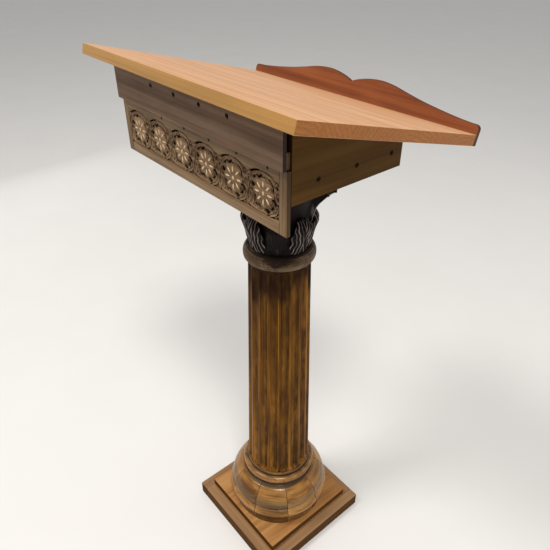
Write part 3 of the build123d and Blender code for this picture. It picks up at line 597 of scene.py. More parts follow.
LIGHT_AIM = (0, 0, 0.7)
LIGHTS = (  # name, place, width and height, watts, colour
    ("key_right", (2.07, -1.35, 4.84), (1.1, 1.1), 138, (1.0, 0.96, 0.90)),
    ("key_left", (-1.1, -2.5, 4.84), (1.1, 1.1), 104, (1.0, 0.97, 0.92)),
    ("left_wall", (-2.6, -0.2, 1.2), (2.4, 2.0), 6, (1.0, 0.99, 0.97)),
    ("right_wall", (1.2, 2.6, 1.2), (2.4, 2.0), 6, (0.98, 0.99, 1.0)),
)
for name, place, (width, height), watts, colour in LIGHTS:
    data = bpy.data.lights.new(name, "AREA")
    data.shape = "RECTANGLE"
    data.size, data.size_y = width, height
    data.energy = watts
    data.color = colour
    lamp = linked(name, data)
    lamp.location = place
    lamp.rotation_euler = (Vector(LIGHT_AIM) - Vector(place)).to_track_quat("-Z", "Y").to_euler()
world = bpy.data.worlds.new("studio")
world.use_nodes = True
world.node_tree.nodes["Background"].inputs[0].default_value = (0.92, 0.92, 0.91, 1)
world.node_tree.nodes["Background"].inputs[1].default_value = 0.5
bpy.context.scene.world = world
bpy.context.scene.view_settings.view_transform = "Standard"

floor_mesh = bpy.data.meshes.new("floor")
floor_mesh.from_pydata([(-30, -30, 0), (30, -30, 0), (30, 30, 0), (-30, 30, 0)], [], [(0, 1, 2, 3)])
floor = linked("floor", floor_mesh)
paint = Nodes("pale_floor")
spots = paint.noise(paint.place(), 3.0, 3.0)
paint.shade("Base Color", paint.mix(paint.span(spots, 0.3, 0.7), (0.80, 0.79, 0.775), (0.78, 0.77, 0.755)))
paint.shade("Roughness", 0.75)
floor_mesh.materials.append(paint.material)


# ---------------------------------------------------------------- plinth
for side in ("left", "right"):
    board(f"plinth_strip_{side}", 1.6, Y_AXIS, 0.35, lip=Z_AXIS, shade_below=1.3)
for side in ("front", "back"):
    board(f"plinth_strip_{side}", 1.6, X_AXIS, 0.45, lip=Z_AXIS, shade_below=1.3)
board("plinth_core", 0.8, X_AXIS, 0.4)
board("plinth_slab", 2.6, (0.05, 1, 0), 0.7, shade_below=2.2)


# ---------------------------------------------------------------- base segments, collar and ring
BASE_Z, COLLAR_Z, SHAFT_Z, SHAFT_TOP_Z, CAPITAL_Z = 60.0, 183.0, 215.0, 815.0, 843.0
BAND_TOP_Z, SWELL_TOP_Z, BELL_FOOT_Z, BELL_TOP_Z = 94.0, 118.8, 128.9, 171.0
BORE_RADIUS, ROD_HOLE_RADIUS = 58.5, 6.6
BASE_SEAMS = 9
SEGMENT = 2 * math.pi / BASE_SEAMS
SEAM_ANGLE, SEAM_GAP = math.radians(11), math.radians(0.1)
SEAM_CHAMFER, SEAM_RADIUS, SEGMENT_COLUMNS = 0.8, 120.0, 26
SEGMENT_TONES = (0.32, 0.48, 0.18, 0.60, 0.36, 0.70, 0.20, 0.16, 0.48)
SEGMENT_OUTSIDE = [
    (118.0, BASE_Z), (118.0, 76.0), (118.0, 92.5),
    *arc_points((118.0, BAND_TOP_Z), (126.2, 97.2), (129.0, 104.6), 10),
    *arc_points((129.0, 104.6), (126.6, 112.6), (120.6, SWELL_TOP_Z), 12),
    (120.6, SWELL_TOP_Z), (120.0, 121.0), (120.2, 125.4), (121.0, 127.6), (122.2, 128.5),
    *arc_points((122.8, BELL_FOOT_Z), (113.5, 152.0), (94.0, BELL_TOP_Z), 22),
    *arc_points((94.0, BELL_TOP_Z), (84.6, 174.4), (81.0, COLLAR_Z), 12), (81.0, COLLAR_Z)]
SEGMENT_PROFILE = SEGMENT_OUTSIDE + [(BORE_RADIUS, COLLAR_Z), (BORE_RADIUS, BASE_Z)]


def seam_relief(start, end):
    """Angles across a segment, close together at its seams, and how far each stands back from the surface."""
    near = np.array([0, 0.4, 0.9, 1.5]) * (SEAM_CHAMFER / SEAM_RADIUS)
    middle = np.linspace(start + near[3], end - near[3], SEGMENT_COLUMNS)
    angles = np.concatenate([start + near[:3], middle, end - near[2::-1]])
    heights = [SEAM_CHAMFER, SEAM_CHAMFER * 0.55, SEAM_CHAMFER * 0.12, 0]
    return angles, np.interp(np.minimum(angles - start, end - angles), near, heights)


def segment_shade(z):
    """Painted shade in the hollow above the bell shape, in the crease above the swell and on the band under
    it.
    """
    if z > BELL_TOP_Z + 0.6:
        return 1.0
    if z < BAND_TOP_Z + 1:
        return 0.4
    return 0.25 if SWELL_TOP_Z < z < BELL_FOOT_Z - 0.9 else 0.0


def segment_highlight(z):
    """Painted highlight: paler on the bell shape's shoulder and on the swell, where the varnish catches the
    light.
    """
    return 0.9 * math.exp(-((z - 160) / 10) ** 2) + 0.8 * (100 < z <= SWELL_TOP_Z)


def base_segment(index):
    """One of the nine segments."""
    start = SEAM_ANGLE + index * SEGMENT + SEAM_GAP / 2
    angles, back = seam_relief(start, start + (SEGMENT - SEAM_GAP))
    verts, edge, tones = [], [], []
    for angle, step_back in zip(angles, back):
        for i, (r, z) in enumerate(SEGMENT_PROFILE):
            outside = i < len(SEGMENT_OUTSIDE)
            verts.append(polar(r - step_back * outside, angle, z))
            tones.append(SEGMENT_TONES[index] + segment_highlight(z))
            edge.append(max(min(0.9, step_back * 1.8), segment_shade(z) * outside))
    rows, count = len(angles), len(SEGMENT_PROFILE)
    middle = start + SEGMENT / 2
    piece(f"base_segment_{index + 1}", verts, swept_faces(rows, count, False) + end_caps(rows, count),
          (-math.sin(middle), math.cos(middle), 0), tones, edge, sharp=38)


def revolved(name, profile, columns, grain, wear_and_painted_light, tone):
    """Turned piece: a closed profile swept right round, with wear, painted shade and tone worked out for each
    point.
    """
    turns = [2 * math.pi * j / columns for j in range(columns)]
    points = [(r, turn, z) for turn in turns for r, z in profile]
    piece(name, [polar(*point) for point in points], swept_faces(columns, len(profile), True), grain,
          [tone(z) for r, turn, z in points], [wear_and_painted_light(*point) for point in points], sharp=38)


# Painted shade under the collar's bead and in the groove above it, and lighter painted shade on its top.
def collar_shade(r, angle, z):
    if z < 186.0 or (r < 80.2 and 203 <= z < 208.4):
        return 1.0
    return 0.35 if z > 201 else 0.0


def ring_streaks_and_shade(r, angle, z):
    """Turned streaks, painted shade where the ring meets the shaft and the capital, and a dark patch
    that runs down from the capital at the front corner.
    """
    streak = math.sin(z * 2.1 + 0.7 * math.sin(3 * angle))
    streak *= math.sin(z * 0.83 + 1.0 + 0.5 * math.sin(2 * angle + 1))
    off_corner = (angle + math.pi / 4 + math.pi) % (2 * math.pi) - math.pi
    front_patch = math.exp(-(off_corner / 0.42) ** 2) * clipped((z - 820 - 22 * abs(off_corner)) / 8)
    return min(1.0, 0.6 * max(0.0, streak) + (0.5 if z > 840 or z < 815.6 else 0.0) + front_patch)


for index in range(BASE_SEAMS):
    base_segment(index)
collar = arc_points((80.0, COLLAR_Z), (91.3, 193.0), (80.0, 203.0), 20)
collar += [(80.0, 203.0), (79.0, 203.4), (79.0, 207.6), (80.1, 208.2), (80.5, 209.0), (80.5, 213.8),
           (80.0, 214.8), (79.0, SHAFT_Z), (BORE_RADIUS, SHAFT_Z), (BORE_RADIUS, COLLAR_Z)]
# The bead's upper part gets a painted highlight through its tone.
revolved("base_collar", collar, 160, (1, 0.3, 0), collar_shade,
         lambda z: 0.5 + 0.8 * math.exp(-((z - 197) / 4.5) ** 2))
ring = arc_points((69.0, SHAFT_TOP_Z), (72.3, 816.3), (73.6, 819.5), 6)
ring += arc_points((73.6, 819.5), (72.7, 833.2), (64.5, CAPITAL_Z), 34)
ring += [(64.5, CAPITAL_Z), (ROD_HOLE_RADIUS, CAPITAL_Z), (ROD_HOLE_RADIUS, SHAFT_TOP_Z)]
# The ring's upper part gets a painted highlight through its tone.
revolved("neck_ring", ring, 144, (0.4, 1, 0), ring_streaks_and_shade, lambda z: 0.5 if z < 836 else 0.9)

# ---------------------------------------------------------------- fluted staves
FOOT_RADIUS, HEAD_RADIUS, STAVE_THICKNESS = 77.7, 64.4, 22.0
TAPER = HEAD_RADIUS / FOOT_RADIUS
FLUTE_RADIUS, FLUTE_OFFSET, FLUTE_END = 12.2, 5.2, 17.0
STAVES = 9
STAVE = math.radians(360 / STAVES)
HALF_PITCH = STAVE / 4
STAVE_TONES = (0.95, 0.85, 0.62, 0.80, 0.30, 0.68, 0.45, 0.72, 0.58)


def shaft_share(z):
    return (z - SHAFT_Z) / (SHAFT_TOP_Z - SHAFT_Z)


def shaft_radius(z):
    return FOOT_RADIUS + shaft_share(z) * (HEAD_RADIUS - FOOT_RADIUS)


def flute_cut(z):
    """Cutter radius at a height and the distance of its centre from the axis."""
    scale = 1 + shaft_share(z) * (TAPER - 1)
    radius = FLUTE_RADIUS * scale
    low, high = SHAFT_Z + FLUTE_END, SHAFT_TOP_Z - FLUTE_END
    beyond = max(low - z, z - high, 0.0)
    radius = math.sqrt(max(radius * radius - beyond * beyond, 0.0))
    return radius, shaft_radius(z) + FLUTE_OFFSET * scale


def flute_half_angle(z):
    """Half of the angle that the flute takes up on the shaft's surface at this height."""
    cut, centre = flute_cut(z)
    r = shaft_radius(z)
    if cut <= centre - r + 1e-6:
        return 0.0
    return math.acos(min(1.0, (centre * centre + r * r - cut * cut) / (2 * centre * r)))


def stave_rows():
    """Heights of the mesh rows, close together where the flutes end."""
    reach_low = math.sqrt(FLUTE_RADIUS**2 - FLUTE_OFFSET**2)
    reach_high = reach_low * TAPER
    low_end, high_end = SHAFT_Z + FLUTE_END, SHAFT_TOP_Z - FLUTE_END
    low_tip, high_tip = low_end - reach_low, high_end + reach_high
    rows = [SHAFT_Z, SHAFT_Z + 0.6, SHAFT_Z + 3.0, low_tip - 0.5]
    rows += [low_tip + reach_low * (1 - math.cos(t)) for t in np.linspace(0.02, math.pi / 2, 15)]
    rows += list(np.linspace(low_end, high_end, 62)[1:-1])
    rows += [high_tip - reach_high * (1 - math.cos(t)) for t in np.linspace(math.pi / 2, 0.02, 15)]
    return rows + [high_tip + 0.5, SHAFT_TOP_Z - 3.0, SHAFT_TOP_Z - 0.6, SHAFT_TOP_Z]


def stave_columns(z):
    """For each mesh column at a height, the middle of its flute and the angle from there."""
    spread = max(flute_half_angle(z), 0.012)
    soft = 0.35 / shaft_radius(z)
    flat = max(HALF_PITCH - spread, 0.02)
    side = [-HALF_PITCH, -spread - flat * 0.65, -spread - flat * 0.3, -spread - soft]
    inside = list(spread * np.sin(np.linspace(-1, 1, 15) * math.pi / 2))
    offsets = side + inside + [-s for s in side[::-1]]
    return [(flute, phi) for flute in (HALF_PITCH, 3 * HALF_PITCH) for phi in offsets]


def shaft_stave(index, rows):
    """One of the nine staves, with two flutes, painted shade in the flutes, dark arrises, and painted shadow
    towards its head.
    """
    start, seam = index * STAVE, SEAM_GAP / 2
    verts, edge = [], []
    for z in rows:
        r = shaft_radius(z)
        cut, centre = flute_cut(z)
        width = flute_half_angle(z)
        round_end = 0.35 if z in (SHAFT_Z, SHAFT_TOP_Z) else 0.0
        for flute, phi in stave_columns(z):
            depth = 0.0
            if width > 0 and abs(phi) < width:
                reach = math.sqrt(max(cut**2 - (centre * math.sin(phi))**2, 0.0))
                depth = r - (centre * math.cos(phi) - reach)
            angle = flute + phi
            near = min(angle, STAVE - angle)
            ridge = math.exp(-max(near * r, 0) / 0.5)
            back = max(depth, 0.0) + round_end + 0.35 * ridge
            verts.append(polar(r - back, start + min(max(angle, seam), STAVE - seam), z))
            # Painted shade in each flute, deeper towards its bottom and heavier on one of its sides.
            flute_shade = 0.42 * max(0.0, depth / 6.5) + 0.4 * max(0.0, math.sin(phi * 9)) * (depth > 0.3)
            # Painted shadow over the stave's head, above a ragged line, where the box above shades the shaft.
            shadow_line = 676 + 70 * STAVE_TONES[(index * 5 + 3) % STAVES] + 22 * math.sin(flute * 9 + index * 2)
            edge.append(min(1.0, max(flute_shade + ridge, clipped((z - shadow_line) / 40) * 0.78)))
    # The inner face is plain, and every row of it has the columns of the shaft's head.
    columns = stave_columns(SHAFT_TOP_Z)
    base, count, last = len(verts), len(columns), len(rows) - 1
    for z in rows:
        for flute, phi in columns:
            angle = min(max(flute + phi, seam), STAVE - seam)
            verts.append(polar(shaft_radius(z) - STAVE_THICKNESS, start + angle, z))
    faces = grid_faces(len(rows), count)
    faces += [f[::-1] for f in grid_faces(len(rows), count, base=base)]
    for j in range(count - 1):
        faces.append((j, base + j, base + j + 1, j + 1))
        top, under = last * count + j, base + last * count + j
        faces.append((top + 1, under + 1, under, top))
    for i in range(last):
        a, b = i * count, (i + 1) * count
        faces.append((a, b, base + b, base + a))
        a, b = a + count - 1, b + count - 1
        faces.append((b, a, base + a, base + b))
    piece(f"shaft_stave_{index + 1}", verts, faces, Z_AXIS, STAVE_TONES[index], edge + [0.0] * base, sharp=32,
          weighted=False)


rows = stave_rows()
for index in range(STAVES):
    shaft_stave(index, rows)

# ---------------------------------------------------------------- capital
LEAF_COLUMNS, LEAF_STEPS = 61, 56
LEAF_THICKNESS, LEAF_LOBES, LEAF_ROLL, LEAF_WAIST = 4.5, 4.0, 4.0, 0.36
LEAF_PATH = [(60.8, 843.2), (61.8, 846.5), (63.4, 852.0), (65.2, 860.0), (67.6, 872.0), (70.9, 884.0),
             (74.2, 893.0), (75.6, 899.0), (75.0, 905.0), (72.6, 910.5), (69.4, 915.0), (66.0, 918.2),
             (62.8, 919.2)]
LEAF_WIDTHS = [(0, 23.0), (0.15, 24.0), (0.4, 26.0), (0.6, 25.5), (0.72, 23.5), (0.82, 19.5), (0.92, 14.0),
               (1.0, 9.0)]
# The bell and its four horns are one surface: each horn grows out of the bell and sweeps up to a corner.
BELL_Z = (843.0, 856.0, 872.0, 890.0, 905.0, 920.0, 935.0, 948.0, 957.0)
BELL_RADIUS = (60.2, 59.6, 58.8, 58.2, 58.2, 59.0, 61.0, 64.4, 66.6)
HORN_Z = (876.0, 892.0, 906.0, 918.0, 927.6, 934.4, 941.8, 949.8, 955.0, 957.0)
HORN_RADIUS = (58.6, 61.6, 64.8, 68.2, 72.2, 78.6, 87.6, 97.8, 104.6, 106.6)
HORN_SPREAD = (30.0, 28.0, 25.5, 22.5, 18.5, 15.0, 12.5, 10.5, 9.6, 9.4)
ABACUS_Z = BELL_Z[-1]
CORNERS = [math.pi / 4 + corner * math.pi / 2 for corner in range(4)]
SCROLL_OUT, SCROLL_Z, SCROLL_ACROSS, SCROLL_TURNS, SCROLL_REACH = 89.6, 950.8, 5.2, 2.2, 3.4
STEM_RADIUS = 1.9
STEM = [(STEM_RADIUS * math.cos(b), STEM_RADIUS * math.sin(b)) for b in np.linspace(0, 2 * math.pi, 11)[:-1]]


def leaf(angle, path, widths, ribs, sway, height, crest_highlight):
    """One carved leaf: path gives radius and height up its middle, and its ribs spread from its waist."""
    line = smooth_curve(path, LEAF_STEPS)
    tangent = np.gradient(line, axis=0)
    tangent /= np.linalg.norm(tangent, axis=1)[:, None]
    normal = np.stack([tangent[:, 1], -tangent[:, 0]], 1)
    widths = np.interp(np.linspace(0, 1, LEAF_STEPS), *zip(*widths))
    front, back, edge = [], [], []
    for i, v in enumerate(np.linspace(0, 1, LEAF_STEPS)):
        width = widths[i] * (1 + 0.06 * math.cos(2 * math.pi * LEAF_LOBES * v + 0.6))
        rise = -sway * (math.hypot(v - LEAF_WAIST, 0.09) - 0.09)
        fade = min(1.0, v / 0.04) * min(1.0, (1 - v) / 0.06)
        around = max(line[i, 0], 1.0)
        for u in np.linspace(-1, 1, LEAF_COLUMNS):
            share = abs(u)
            ripple = 0.05 * math.sin(9 * v + 4 * u) + 0.03 * math.sin(21 * v - 4 * u)
            ridge = (0.5 + 0.5 * math.cos(2 * math.pi * (ribs * (share + rise) + ripple))) ** 2.6
            lift = height * ridge * fade * (1 - 0.5 * share**4)
            drop = LEAF_ROLL * share**3.2
            r, z = line[i] + normal[i] * (lift - drop)
            front.append(polar(r, angle + u * width / around, z))
            # Painted highlight on the crests of the ribs.
            edge.append(ridge**1.6 * fade * crest_highlight * (0.75 + 0.25 * math.sin(9 * v + 7 * u)))
            r = line[i, 0] - normal[i, 0] * (LEAF_THICKNESS + drop * 0.7)
            z = line[i, 1] - normal[i, 1] * (LEAF_THICKNESS * 0.6 + drop * 0.7)
            back.append(polar(r, angle + u * width * 0.97 / around, z))
    count = len(front)
    faces = grid_faces(LEAF_STEPS, LEAF_COLUMNS)
    faces += [f[::-1] for f in grid_faces(LEAF_STEPS, LEAF_COLUMNS, base=count)]
    rim = grid_rim(LEAF_STEPS, LEAF_COLUMNS)
    faces += rim_walls(rim, {point: point + count for point in rim})
    return front + back, faces, edge + [0.0] * count


def sweep(path, side, section, edge_section):
    """Closed tube: section lists (across, out) points that follow a path, and side is the way across."""
    path = np.asarray(path, float)
    tangent = np.gradient(path, axis=0)
    tangent /= np.linalg.norm(tangent, axis=1)[:, None]
    verts, edge = [], []
    shrink = np.ones(len(path))
    shrink[0] = shrink[-1] = 0.6
    for i, point in enumerate(path):
        across = side - tangent[i] * (side @ tangent[i])
        across /= np.linalg.norm(across)
        out = np.cross(across, tangent[i])
        verts += [point + (across * a + out * o) * shrink[i] for a, o in section]
        edge += edge_section
    count = len(section)
    return verts, grid_faces(len(path), count, wrap=True) + end_caps(len(path), count), edge


def horn_surface(angle, z):
    """Radius of the capital's body, with angle measured from the nearest corner."""
    bell = np.interp(z, BELL_Z, BELL_RADIUS)
    tip = max(np.interp(z, HORN_Z, HORN_RADIUS), bell)
    away = tip * abs(math.sin(angle)) / np.interp(z, HORN_Z, HORN_SPREAD)
    return bell + (tip - bell) * math.exp(-0.9 * away ** 2.3)


def bell_and_horns():
    """The capital's body round the rod's hole, with closer rows above the leaves, where the horns grow out."""
    turns = [math.pi / 4 * (0.25 * u + 0.75 * u**3) for u in np.linspace(-1, 1, 45)[:-1]]
    leaf_top_z = 905
    levels = list(np.linspace(CAPITAL_Z, leaf_top_z, 20)[:-1]) + list(np.linspace(leaf_top_z, ABACUS_Z, 44))
    columns = 4 * len(turns)
    verts, edge = [], []
    for z in levels:
        for corner in CORNERS:
            for turn in turns:
                r = horn_surface(turn, z)
                verts.append(polar(r, corner + turn, z))
                # Painted highlight on each horn's flank and, fainter, along its middle line above the leaves.
                flank_highlight = 0.42 * math.exp(-((abs(turn) * r - 13) / 5) ** 2 - ((z - 918) / 14) ** 2)
                edge.append(max(flank_highlight, 0.2 * math.exp(-(turn * r / 6) ** 2) if z > 915 else 0.0))
    faces = grid_faces(len(levels), columns, wrap=True)
    low_hub, high_hub = len(verts), len(verts) + columns
    high_rim = (len(levels) - 1) * columns
    for z in (CAPITAL_Z, ABACUS_Z):
        verts += [polar(ROD_HOLE_RADIUS, 2 * math.pi * j / columns, z) for j in range(columns)]
    for first, second in ((0, low_hub), (high_rim, high_hub), (low_hub, high_hub)):
        for j in range(columns):
            k = (j + 1) % columns
            faces.append((first + j, first + k, second + k, second + j))
    return verts, faces, edge + [0.0] * (2 * columns)


def horn_ribbons(corner, side):
    """The stem up one side of a horn and the small scroll beside the horn's tip."""
    radial = np.array((math.cos(corner), math.sin(corner), 0))
    across = np.array((-math.sin(corner), math.cos(corner), 0))
    stem, scroll = [], []
    for z in np.linspace(896, 956, 52):
        offset = 0.55 * np.interp(z, HORN_Z, HORN_SPREAD) / np.interp(z, HORN_Z, HORN_RADIUS)
        stem.append(polar(horn_surface(offset, z) + 0.5, corner + side * offset, z))
    for t in np.linspace(0, 1, 56):
        a = -2.1 + t * SCROLL_TURNS * 2 * math.pi
        rho = SCROLL_REACH * (1 - t) ** 0.9 + 0.6
        out, z = SCROLL_OUT + rho * math.cos(a), SCROLL_Z + rho * math.sin(a)
        scroll.append(radial * out + np.array((0, 0, z)) + across * side * (SCROLL_ACROSS + 2.4 * t))
    # Painted highlight along the stem's outer side, and a faint one on the scroll.
    yield sweep(stem, across, STEM, [0.9 if out > 0.5 else 0.3 for a, out in STEM])
    yield sweep(scroll, across, [(0.75 * a, 0.75 * out) for a, out in STEM], [0.2] * len(STEM))


capital = Builder()
for index in range(8):
    diagonal = index % 2
    widths = [(v, w * (0.84 if diagonal else 1.0)) for v, w in LEAF_WIDTHS]
    path = [(r - 0.9 * diagonal, z) for r, z in LEAF_PATH]
    ribs = 2.7 if diagonal else 3.4
    sway, height, crest_highlight = (0.6, 0.8, 0.15) if index == 7 else (1.2, 2.3, 1.0)  # the front one has low, smooth ribs and little painted highlight, as it lies in shade
    capital.add(*leaf(index * math.pi / 4, path, widths, ribs, sway, height, crest_highlight))
capital.add(*bell_and_horns())
for corner in CORNERS:
    for side in (-1, 1):
        for part in horn_ribbons(corner, side):
            capital.add(*part)
capital.finish("capital_carving", Z_AXIS, 50)

ABACUS_LEVELS = [  # how far the outline stands in, and the height
    (6.5, 957.0), (3.6, 957.0), (3.0, 957.8), (3.0, 962.5), (3.6, 963.6), (3.0, 964.8), (1.6, 965.8),
    (0.5, 966.4), (0.0, 967.4), (0.0, 978.6), (0.4, 979.6), (1.4, 980.0), (6.5, 980.0)]
ABACUS_TIP, ABACUS_WAIST, ABACUS_CORNER = 110.0, 64.0, 9.0


def abacus_outline(inset):
    """Square with hollowed sides and blunt corners."""
    tip, waist, half = (ABACUS_TIP - inset) / math.sqrt(2), ABACUS_WAIST - inset, ABACUS_CORNER / math.sqrt(2)
    near, far = tip - half, tip + half
    side = arc_points((far, -near), (waist, 0), (far, near), 28) + [(far, near)]
    points = []
    for quarter in range(4):
        c, s = math.cos(quarter * math.pi / 2), math.sin(quarter * math.pi / 2)
        points += [(x * c - y * s, x * s + y * c) for x, y in side]
    return points


verts = [(x, y, z) for inset, z in ABACUS_LEVELS for x, y in abacus_outline(inset)]
columns = len(abacus_outline(0))
faces = grid_faces(len(ABACUS_LEVELS), columns, wrap=True) + end_caps(len(ABACUS_LEVELS), columns)
piece("capital_abacus", verts, faces, (1, 0.15, 0), 0.6,
      [0.22 if z in (966.4, 979.6) else 0.05 for x, y, z in verts], sharp=35)

# ---------------------------------------------------------------- block, plate and box
board("mounting_block", 1.5, Z_AXIS, 0.4)
board("mounting_plate", 1.5, X_AXIS, 0.6)
INNER_X = BOX_HALF_WIDTH - BOARD_THICKNESS
FRONT_BOARD_Z = 1078.0
SIDE_SCREWS = [(side * BOX_HALF_WIDTH, y, 1087.0) for side in (-1, 1) for y in (-125.0, -49.0, 27.0)]
PLANK_FRONT_Y, PLANK_BACK_Y, PLANK_Z = -189.5, -183.0, 1112.5
PLANK_SCREWS = [(x, PLANK_FRONT_Y, 1158.0) for x in (-99.0, -29.5, 40.0, 109.5)]


def underside(y):
    """Height of the sloping top's lower face."""
    return TOP_HIGH_Z - (y - TOP_HIGH_Y) * math.tan(TOP_SLOPE) - TOP_THICKNESS / math.cos(TOP_SLOPE)


def sloped_board(name, y_span, x_span, z_from, bevel, grain, tone, cuts=()):
    """Board that reaches from a height up to the sloping top."""
    (y0, y1), (x0, x1) = y_span, x_span
    outline = [(y0, z_from), (y1, z_from), (y1, underside(y1)), (y0, underside(y0))]
    mesh = prism_mesh(outline, lambda u, v, w: (x0 + w, u, v), x1 - x0, bevel, cuts=cuts)
    dress(name, mesh, grain, tone)


for name, side in (("side_panel_left", -1), ("side_panel_right", 1)):
    cuts = [(place, (-side, 0, 0)) for place in SIDE_SCREWS if place[0] * side > 0]
    sloped_board(name, (BOX_FRONT_Y, BOX_BACK_Y), sorted((side * INNER_X, side * BOX_HALF_WIDTH)), BOX_Z, 0.7,
                 Y_AXIS, 0.5, cuts)
sloped_board("back_panel", (BOX_BACK_Y - BOARD_THICKNESS, BOX_BACK_Y), (-INNER_X, INNER_X), BOX_Z, 0.5,
             X_AXIS, 0.6)
sloped_board("front_board", (BOX_FRONT_Y, BOX_FRONT_Y + BOARD_THICKNESS), (-INNER_X, INNER_X),
             FRONT_BOARD_Z, 0.5, X_AXIS, 0.4)
sloped_board("front_plank", (PLANK_FRONT_Y, PLANK_BACK_Y), (-BOX_HALF_WIDTH, BOX_HALF_WIDTH), PLANK_Z, 0.9,
             X_AXIS, 0.5, [(place, Y_AXIS) for place in PLANK_SCREWS])
for name in ("box_floor", "lower_batten", "upper_batten"):
    board(name, 0.6, X_AXIS, 0.5)


# ---------------------------------------------------------------- screws and nails
SCREW_RADIUS, SCREW_SIDES, HEAD_RINGS = 3.3, 40, 9
CROSS_TURN, CROSS_HALF_WIDTH, CROSS_REACH = 0.5, 0.55, 2.2
SHANK = [(0.35, SCREW_RADIUS), (2.6, 2.2), (3.2, 2.0), (12.0, 2.0), (13.5, 0.4)]  # depth and radius
NAIL = [(-1.0, 0.15), (-0.95, 0.9), (-0.75, 1.6), (-0.4, 2.15), (0.0, 2.4), (0.15, 2.2), (0.2, 1.2),
        (14.0, 1.2)]
NAIL_XS, NAIL_Z = (-90.0, -21.0, 48.0, 117.0, 186.0), 1105.5
CARVING_FRONT_Y, CARVING_BACK_Y = -181.5, -174.5


def add_screw(builder, origin, axis, sink):
    """Countersunk screw with a cross recess; axis points into the wood."""
    axis, a, b = frame_of(axis)
    origin = Vector(origin) + axis * sink
    turns = [2 * math.pi * j / SCREW_SIDES + CROSS_TURN for j in range(SCREW_SIDES)]
    verts = []
    for i in range(HEAD_RINGS):
        r = SCREW_RADIUS * ((i + 0.02) / (HEAD_RINGS - 1 + 0.02))
        for t in turns:
            x, y = r * math.cos(t), r * math.sin(t)
            c = x * math.cos(CROSS_TURN) + y * math.sin(CROSS_TURN)
            s = -x * math.sin(CROSS_TURN) + y * math.cos(CROSS_TURN)
            off_arm, along_arm = sorted((abs(c), abs(s)))
            in_cross = off_arm < CROSS_HALF_WIDTH and along_arm < CROSS_REACH
            depth = 1.5 - 0.35 * along_arm if in_cross else 0.1 * (r / SCREW_RADIUS) ** 2
            verts.append(origin + a * x + b * y + axis * depth)
    for distance, r in SHANK:
        verts += [origin + a * (r * math.cos(t)) + b * (r * math.sin(t)) + axis * distance for t in turns]
    rows = HEAD_RINGS + len(SHANK)
    builder.add(verts, grid_faces(rows, SCREW_SIDES, wrap=True) + end_caps(rows, SCREW_SIDES))


def screws(name, places, axes, sink=1.6):
    builder = Builder()
    for place, axis in zip(places, axes):
        add_screw(builder, place, axis, sink)
    builder.finish(name, Z_AXIS, 35)


screws("side_screws", SIDE_SCREWS, [(-1 if x > 0 else 1, 0, 0) for x, y, z in SIDE_SCREWS])
screws("plank_screws", PLANK_SCREWS, [Y_AXIS] * 4)
screws("plinth_screws", [(x, y, 0.6) for x in (-95, 95) for y in (-95, 95)], [Z_AXIS] * 4, sink=0.0)
nails = Builder()
for x in NAIL_XS:
    bm = bmesh.new()
    spin_solid(bm, NAIL, (x, CARVING_FRONT_Y, NAIL_Z), Y_AXIS, 20)
    bm.verts.index_update()
    nails.add([v.co for v in bm.verts], [[v.index for v in f.verts] for f in bm.faces])
    bm.free()
nails.finish("carving_nails", Z_AXIS, 40)

# ---------------------------------------------------------------- sloping top and ledge
SLOPE_DOWN = Vector((0, math.cos(TOP_SLOPE), -math.sin(TOP_SLOPE)))
SLOPE_UP = Vector((0, math.sin(TOP_SLOPE), math.cos(TOP_SLOPE)))
HIGH_EDGE = Vector((0, TOP_HIGH_Y, TOP_HIGH_Z))
PLANK_TONES = (0.62, 0.30, 0.75, 0.45)
BOX_QUADS = (  # corners of a box's faces, as 0 or 1 along each of its three directions
    ((0, 0, 0), (0, 1, 0), (1, 1, 0), (1, 0, 0)), ((0, 0, 1), (1, 0, 1), (1, 1, 1), (0, 1, 1)),
    ((0, 0, 0), (1, 0, 0), (1, 0, 1), (0, 0, 1)), ((0, 1, 0), (0, 1, 1), (1, 1, 1), (1, 1, 0)),
    ((0, 0, 0), (0, 0, 1), (0, 1, 1), (0, 1, 0)), ((1, 0, 0), (1, 1, 0), (1, 1, 1), (1, 0, 1)),
)
LEDGE_THICKNESS, LEDGE_X = 8.0, TOP_WIDTH / 2
LEDGE_HALF = [(0, 29.4), (10, 33.4), (26, 37.9), (45, 41.4), (65, 43.0), (90, 41.0), (130, 33.2), (165, 26.6),
              (200, 21.6), (235, 17.4), (262, 15.3), (272, 15.0)]


def on_top(x, along, above):
    """Point at a distance along the slope and above the top's surface."""
    return HIGH_EDGE + Vector((x, 0, 0)) + SLOPE_DOWN * along + SLOPE_UP * above


def on_rim(edge):
    """Whether a plank's edge lies on the outline of the whole top, and not along a joint."""
    first, second = (vert.co for vert in edge.verts)
    middle = (first + second) / 2
    along = (middle - HIGH_EDGE).dot(SLOPE_DOWN)
    at_end = abs(abs(middle.x) - TOP_WIDTH / 2) < 1
    at_side = abs(along) < 1 or abs(along - TOP_DEPTH) < 1
    lies_flat = abs((first - second).dot(SLOPE_UP)) < 1
    return (lies_flat and (at_end or at_side)) or (at_end and at_side)


def top_plank(index, tone):
    """One of the four boards of the top, with rounded edges where it ends the top."""
    bm = bmesh.new()
    corners = {}
    for i, x in enumerate((-TOP_WIDTH / 2, TOP_WIDTH / 2)):
        for j in (0, 1):
            along = (index + j) * TOP_DEPTH / len(PLANK_TONES)
            for k, above in enumerate((-TOP_THICKNESS, 0.0)):
                corners[i, j, k] = bm.verts.new(on_top(x, along, above))
    for quad in BOX_QUADS:
        bm.faces.new([corners[corner] for corner in quad])
    bmesh.ops.recalc_face_normals(bm, faces=bm.faces)
    bmesh.ops.bevel(bm, geom=[edge for edge in bm.edges if on_rim(edge)], offset=1.1, offset_type="OFFSET",
                    segments=3, profile=0.5, affect="EDGES")
    # The first board's front edge has an olive colour of its own, painted shade for a face that the light
    # reaches less.
    dress(f"top_plank_{index + 1}", in_metres(mesh_from(bm)), X_AXIS, tone,
          lip=(0, 0, 0) if index else -SLOPE_DOWN)


for index, tone in enumerate(PLANK_TONES):
    top_plank(index, tone)

